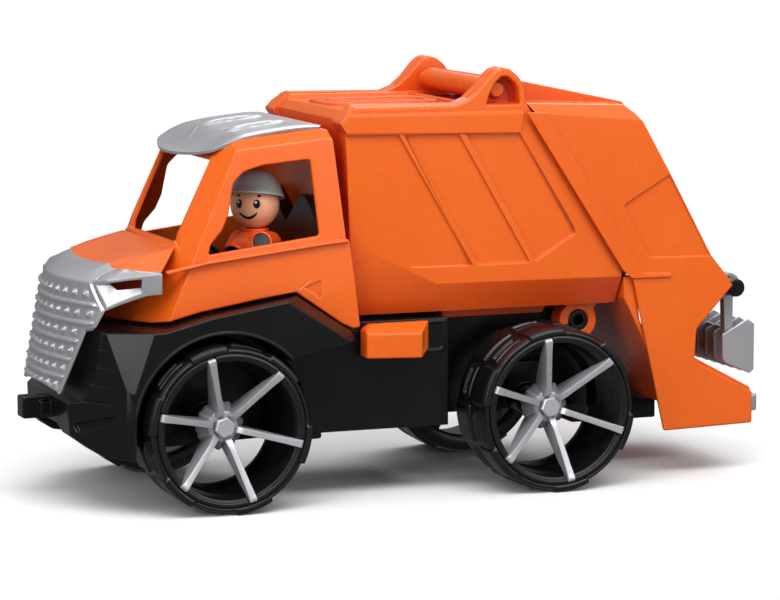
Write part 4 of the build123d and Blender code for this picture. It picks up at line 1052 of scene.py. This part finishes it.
# ------------------------------------------------------------------ driver's face and helmet
HEAD_RADIUS = 13.2
head_low, head_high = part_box("driver_head")
HEAD = Vector(((head_low.x + head_high.x) / 2 / MM, (head_low.y + head_high.y) / 2 / MM,
               head_high.z / MM - HEAD_RADIUS))
FACE_AZIMUTH = 53.5     # degrees from +X towards +Y
PRINT_HEIGHT = 0.12
STROKE_SEGMENTS = 14
MATERIALS["print_black"] = plastic(
    "face_print", deep=(0.004, 0.004, 0.004), base=(0.007, 0.006, 0.006),
    light=(0.03, 0.03, 0.03), roughness=0.18, edge_highlight=0.0, grain=0.004, wave=0.0)
# Painted highlight: white dots raised on the eyes stand in for the reflection of the lamps.
MATERIALS["glint_white"] = plastic(
    "eye_glint", deep=(0.85, 0.85, 0.85), base=(0.92, 0.92, 0.92), light=(1.0, 1.0, 1.0),
    roughness=0.2, edge_highlight=0.0, grain=0.004, wave=0.0)


def head_direction(azimuth, elevation):
    a, e = math.radians(FACE_AZIMUTH + azimuth), math.radians(elevation)
    return Vector((math.cos(e) * math.cos(a), math.cos(e) * math.sin(a), math.sin(e)))


def stroke(name, path, widths, height=PRINT_HEIGHT, material="print_black", lift=0.0):
    """A raised line on the head, for the printed features and the painted eye glints: an oval
    section along a path of (azimuth, elevation).
    """
    ways = [head_direction(*p) for p in path]
    n = len(ways)
    verts = []
    for i, way in enumerate(ways):
        tangent = (ways[min(i + 1, n - 1)] - ways[max(i - 1, 0)]).normalized()
        sideways = way.cross(tangent).normalized()
        for k in range(STROKE_SEGMENTS):
            a = 2 * math.pi * k / STROKE_SEGMENTS
            rise = height * math.sin(a) * min(1.0, widths[i] / 0.3)
            verts.append(HEAD + way * (HEAD_RADIUS + lift + rise)
                         + sideways * widths[i] * math.cos(a))
    faces = grid_faces(STROKE_SEGMENTS, n, wrap_columns=True)
    faces.append(tuple(range(STROKE_SEGMENTS)))
    faces.append(tuple(reversed(range((n - 1) * STROKE_SEGMENTS, n * STROKE_SEGMENTS))))
    item = make(name, verts, faces, material, crease=60.0)
    with editing(item.data) as bm:
        recalculate(bm)
    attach(item, BODY_OF["driver_head"])


def oval(name, azimuth, elevation, half_width, half_height, **print_settings):
    n = 15
    path, widths = [], []
    for i in range(n):
        t = -math.cos(math.pi * i / (n - 1)) * 0.999
        path.append((azimuth, elevation + math.degrees(half_height * t / HEAD_RADIUS)))
        widths.append(max(0.03, half_width * math.sqrt(1 - t * t)))
    stroke(name, path, widths, **print_settings)


def brow(tag, side):
    path, widths = [], []
    for i in range(11):
        t = i / 10
        arch = 2.6 * math.sin(math.pi * (0.15 + 0.7 * i / 10))
        path.append((side * (25.5 + 10.5 * t - 2.0), 23.0 + arch - 1.2 * t))
        widths.append(0.16 + 0.52 * math.sin(math.pi * min(1.0, (i + 0.6) / 11)))
    stroke(f"driver_brow_{tag}", path, widths)


def smile():
    ts = [-1 + 2 * i / 24 for i in range(25)]
    stroke("driver_smile", [(23.0 * t, -28.3 + 14.0 * t * t) for t in ts],
           [0.16 + 0.72 * math.sqrt(max(0.0, 1 - t ** 2)) for t in ts])


for tag, side in (("left", 1), ("right", -1)):
    eye_azimuth = side * 22.0
    oval(f"driver_eye_{tag}", eye_azimuth, 6.0, half_width=1.95, half_height=2.45, height=0.16)
    # Painted glint on each eye.
    oval(f"driver_eye_glint_{tag}", eye_azimuth - 2.2, 9.6, half_width=0.62, half_height=0.68,
         height=0.10, material="glint_white", lift=0.14)
    brow(tag, side)
smile()

# Helmet section as (radius, height above the head's middle), outside then inside.
CAP_PROFILE = (
    (0.0, 19.2), (2.0, 19.1), (4.2, 18.7), (6.6, 17.9), (8.8, 16.6), (10.8, 14.7), (12.5, 12.2),
    (13.8, 9.5), (14.7, 7.2), (15.2, 5.9), (15.7, 5.1), (15.9, 4.6), (15.8, 4.2), (15.3, 4.1),
    (14.4, 4.4), (13.9, 5.2), (13.4, 5.8), (12.6, 7.0), (11.4, 8.9), (9.4, 10.9), (6.6, 12.6),
    (3.4, 13.6), (0.0, 13.9),
)
CAP_SEGMENTS = 96


def cap():
    tilt = (Matrix.Rotation(math.radians(53.0), 3, "Z")
            @ Matrix.Rotation(math.radians(-14.0), 3, "Y"))
    verts = []
    for radius, z in CAP_PROFILE:
        brim = float(smooth_step(7.5, 4.6, z)) if z < 7.5 and radius > 13.0 else 0.0
        for k in range(CAP_SEGMENTS):
            a = 2 * math.pi * k / CAP_SEGMENTS
            peak = max(0.0, math.cos(a)) ** 3 * brim
            r = radius + 1.9 * peak
            verts.append(HEAD + tilt @ Vector((r * math.cos(a), r * math.sin(a), z - 0.5 * peak)))
    faces = grid_faces(CAP_SEGMENTS, len(CAP_PROFILE), wrap_columns=True)
    item = make("driver_cap_moulding", verts, faces, "cap_grey", crease=50.0)
    with editing(item.data) as bm:
        bmesh.ops.remove_doubles(bm, verts=bm.verts, dist=0.000005)
        recalculate(bm)
    settle_on(item, "driver_cap")


cap()


# ------------------------------------------------------------------ studio
def aim(item, location, target):
    item.location = location
    way = Vector(target) - Vector(location)
    item.rotation_euler = way.to_track_quat("-Z", "Y").to_euler()


def area(name, location, target, size, power):
    light = bpy.data.lights.new(name, "AREA")
    light.shape = "RECTANGLE"
    light.size, light.size_y = size
    light.energy = power
    aim(place(name, light), location, target)


area("key_top", (0.20, 0.75, 1.15), target=(0.0, 0.0, 0.08), size=(1.5, 0.50), power=14.0)
area("fill_front", (1.25, 0.85, 0.60), target=(0.0, 0.0, 0.10), size=(0.7, 0.9), power=8.0)
area("fill_side", (-0.70, 1.55, 0.55), target=(0.0, 0.0, 0.10), size=(0.9, 0.6), power=6.0)
area("rim_back", (-0.55, -0.9, 1.0), target=(0.0, 0.0, 0.12), size=(1.0, 0.5), power=6.0)

WHITE = (1, 1, 1, 1)
# Height on the ramp (0 straight down, 1 straight up) and grey level between its ends.
SKY_GREYS = ((0.49, 0.16), (0.53, 0.12), (0.62, 0.20), (0.74, 0.55), (0.85, 0.95))


def build_world():
    """White to the camera, a grey gradient to everything else."""
    world = bpy.data.worlds.new("studio")
    bpy.context.scene.world = world
    shader = Shader(world)
    output = shader.add("OutputWorld")
    backdrop = shader.add("Background", {0: WHITE, 1: 1.15})
    sky = shader.add("Background", {1: 0.85})
    coords = shader.add("TexCoord")
    split = shader.add("SeparateXYZ", {0: coords.outputs["Generated"]})
    ramp = shader.add("ValToRGB")
    shader.feed(ramp, {0: shader.remap(split.outputs["Z"], to=(0.0, 1.0), span=(-1.0, 1.0))})
    elements = ramp.color_ramp.elements
    elements[0].position = 0.0
    elements[0].color = (0.30, 0.30, 0.30, 1)
    elements[1].position = 1.0
    elements[1].color = WHITE
    for position, grey in SKY_GREYS:
        elements.new(position).color = (grey, grey, grey * 1.01, 1)
    shader.feed(sky, {0: ramp.outputs[0]})
    rays = shader.add("LightPath").outputs
    mixed = shader.mix_shader(rays["Is Camera Ray"], sky.outputs[0], backdrop.outputs[0])
    shader.feed(output, {"Surface": mixed})


def floor_material():
    """Pale floor that melts into the backdrop away from the lorry, dark in reflections."""
    material, shader, output, surface = new_material("floor")
    coords = shader.add("TexCoord").outputs["Object"]
    rays = shader.add("LightPath").outputs
    pale = shader.mix(shader.remap(shader.noise(coords, scale=3.0), to=(0.0, 1.0)),
                      (0.90, 0.90, 0.90), (0.92, 0.92, 0.92))
    colour = shader.mix(rays["Is Camera Ray"], (0.42, 0.42, 0.42), pale)
    shader.feed(surface, {"Base Color": colour, "Roughness": 0.75, "Specular IOR Level": 0.15})
    scaled = shader.add("VectorMath", operation="MULTIPLY")
    shader.feed(scaled, {0: coords, 1: (1.0, 1.35, 1.0)})
    distance = shader.add("VectorMath", {0: scaled.outputs[0]}, operation="LENGTH")
    fade = shader.remap(distance.outputs["Value"], to=(0.0, 1.0), span=(0.24, 0.40))
    fade = shader.math("MULTIPLY", fade, rays["Is Camera Ray"], clamp=True)
    white = shader.add("Emission", {0: WHITE, 1: 1.05})
    dim = shader.add("Emission", {0: WHITE, 1: 0.14})
    faded = shader.mix_shader(fade, surface.outputs["BSDF"], white.outputs[0])
    glossy = shader.math("MULTIPLY", rays["Is Glossy Ray"], 0.8)
    shader.feed(output, {"Surface": shader.mix_shader(glossy, faded, dim.outputs[0])})
    return material


def build_floor():
    bm = bmesh.new()
    bmesh.ops.create_grid(bm, x_segments=8, y_segments=8, size=6.0)
    floor = place("floor", mesh_from(bm, "floor"))
    floor.data.materials.append(floor_material())
    floor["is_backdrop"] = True


def build_camera():
    data = bpy.data.cameras.new("camera")
    data.sensor_width = 36.0
    data.sensor_fit = "HORIZONTAL"
    data.lens = 164.8153846
    data.clip_start = 0.05
    data.clip_end = 60.0
    camera = place("camera", data)
    aim(camera, (0.7018, 1.8232, 0.3546), target=(-0.00685, 0.0, 0.0976))
    bpy.context.scene.camera = camera


build_world()
build_floor()
build_camera()

view = bpy.context.scene.view_settings
view.view_transform = "Standard"
view.look = "None"
view.exposure = 0.0

sizes = {key: [list(map(float, corner)) for corner in box]
         for key, box in (("cad", CAD_BOX), ("visual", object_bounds()))}
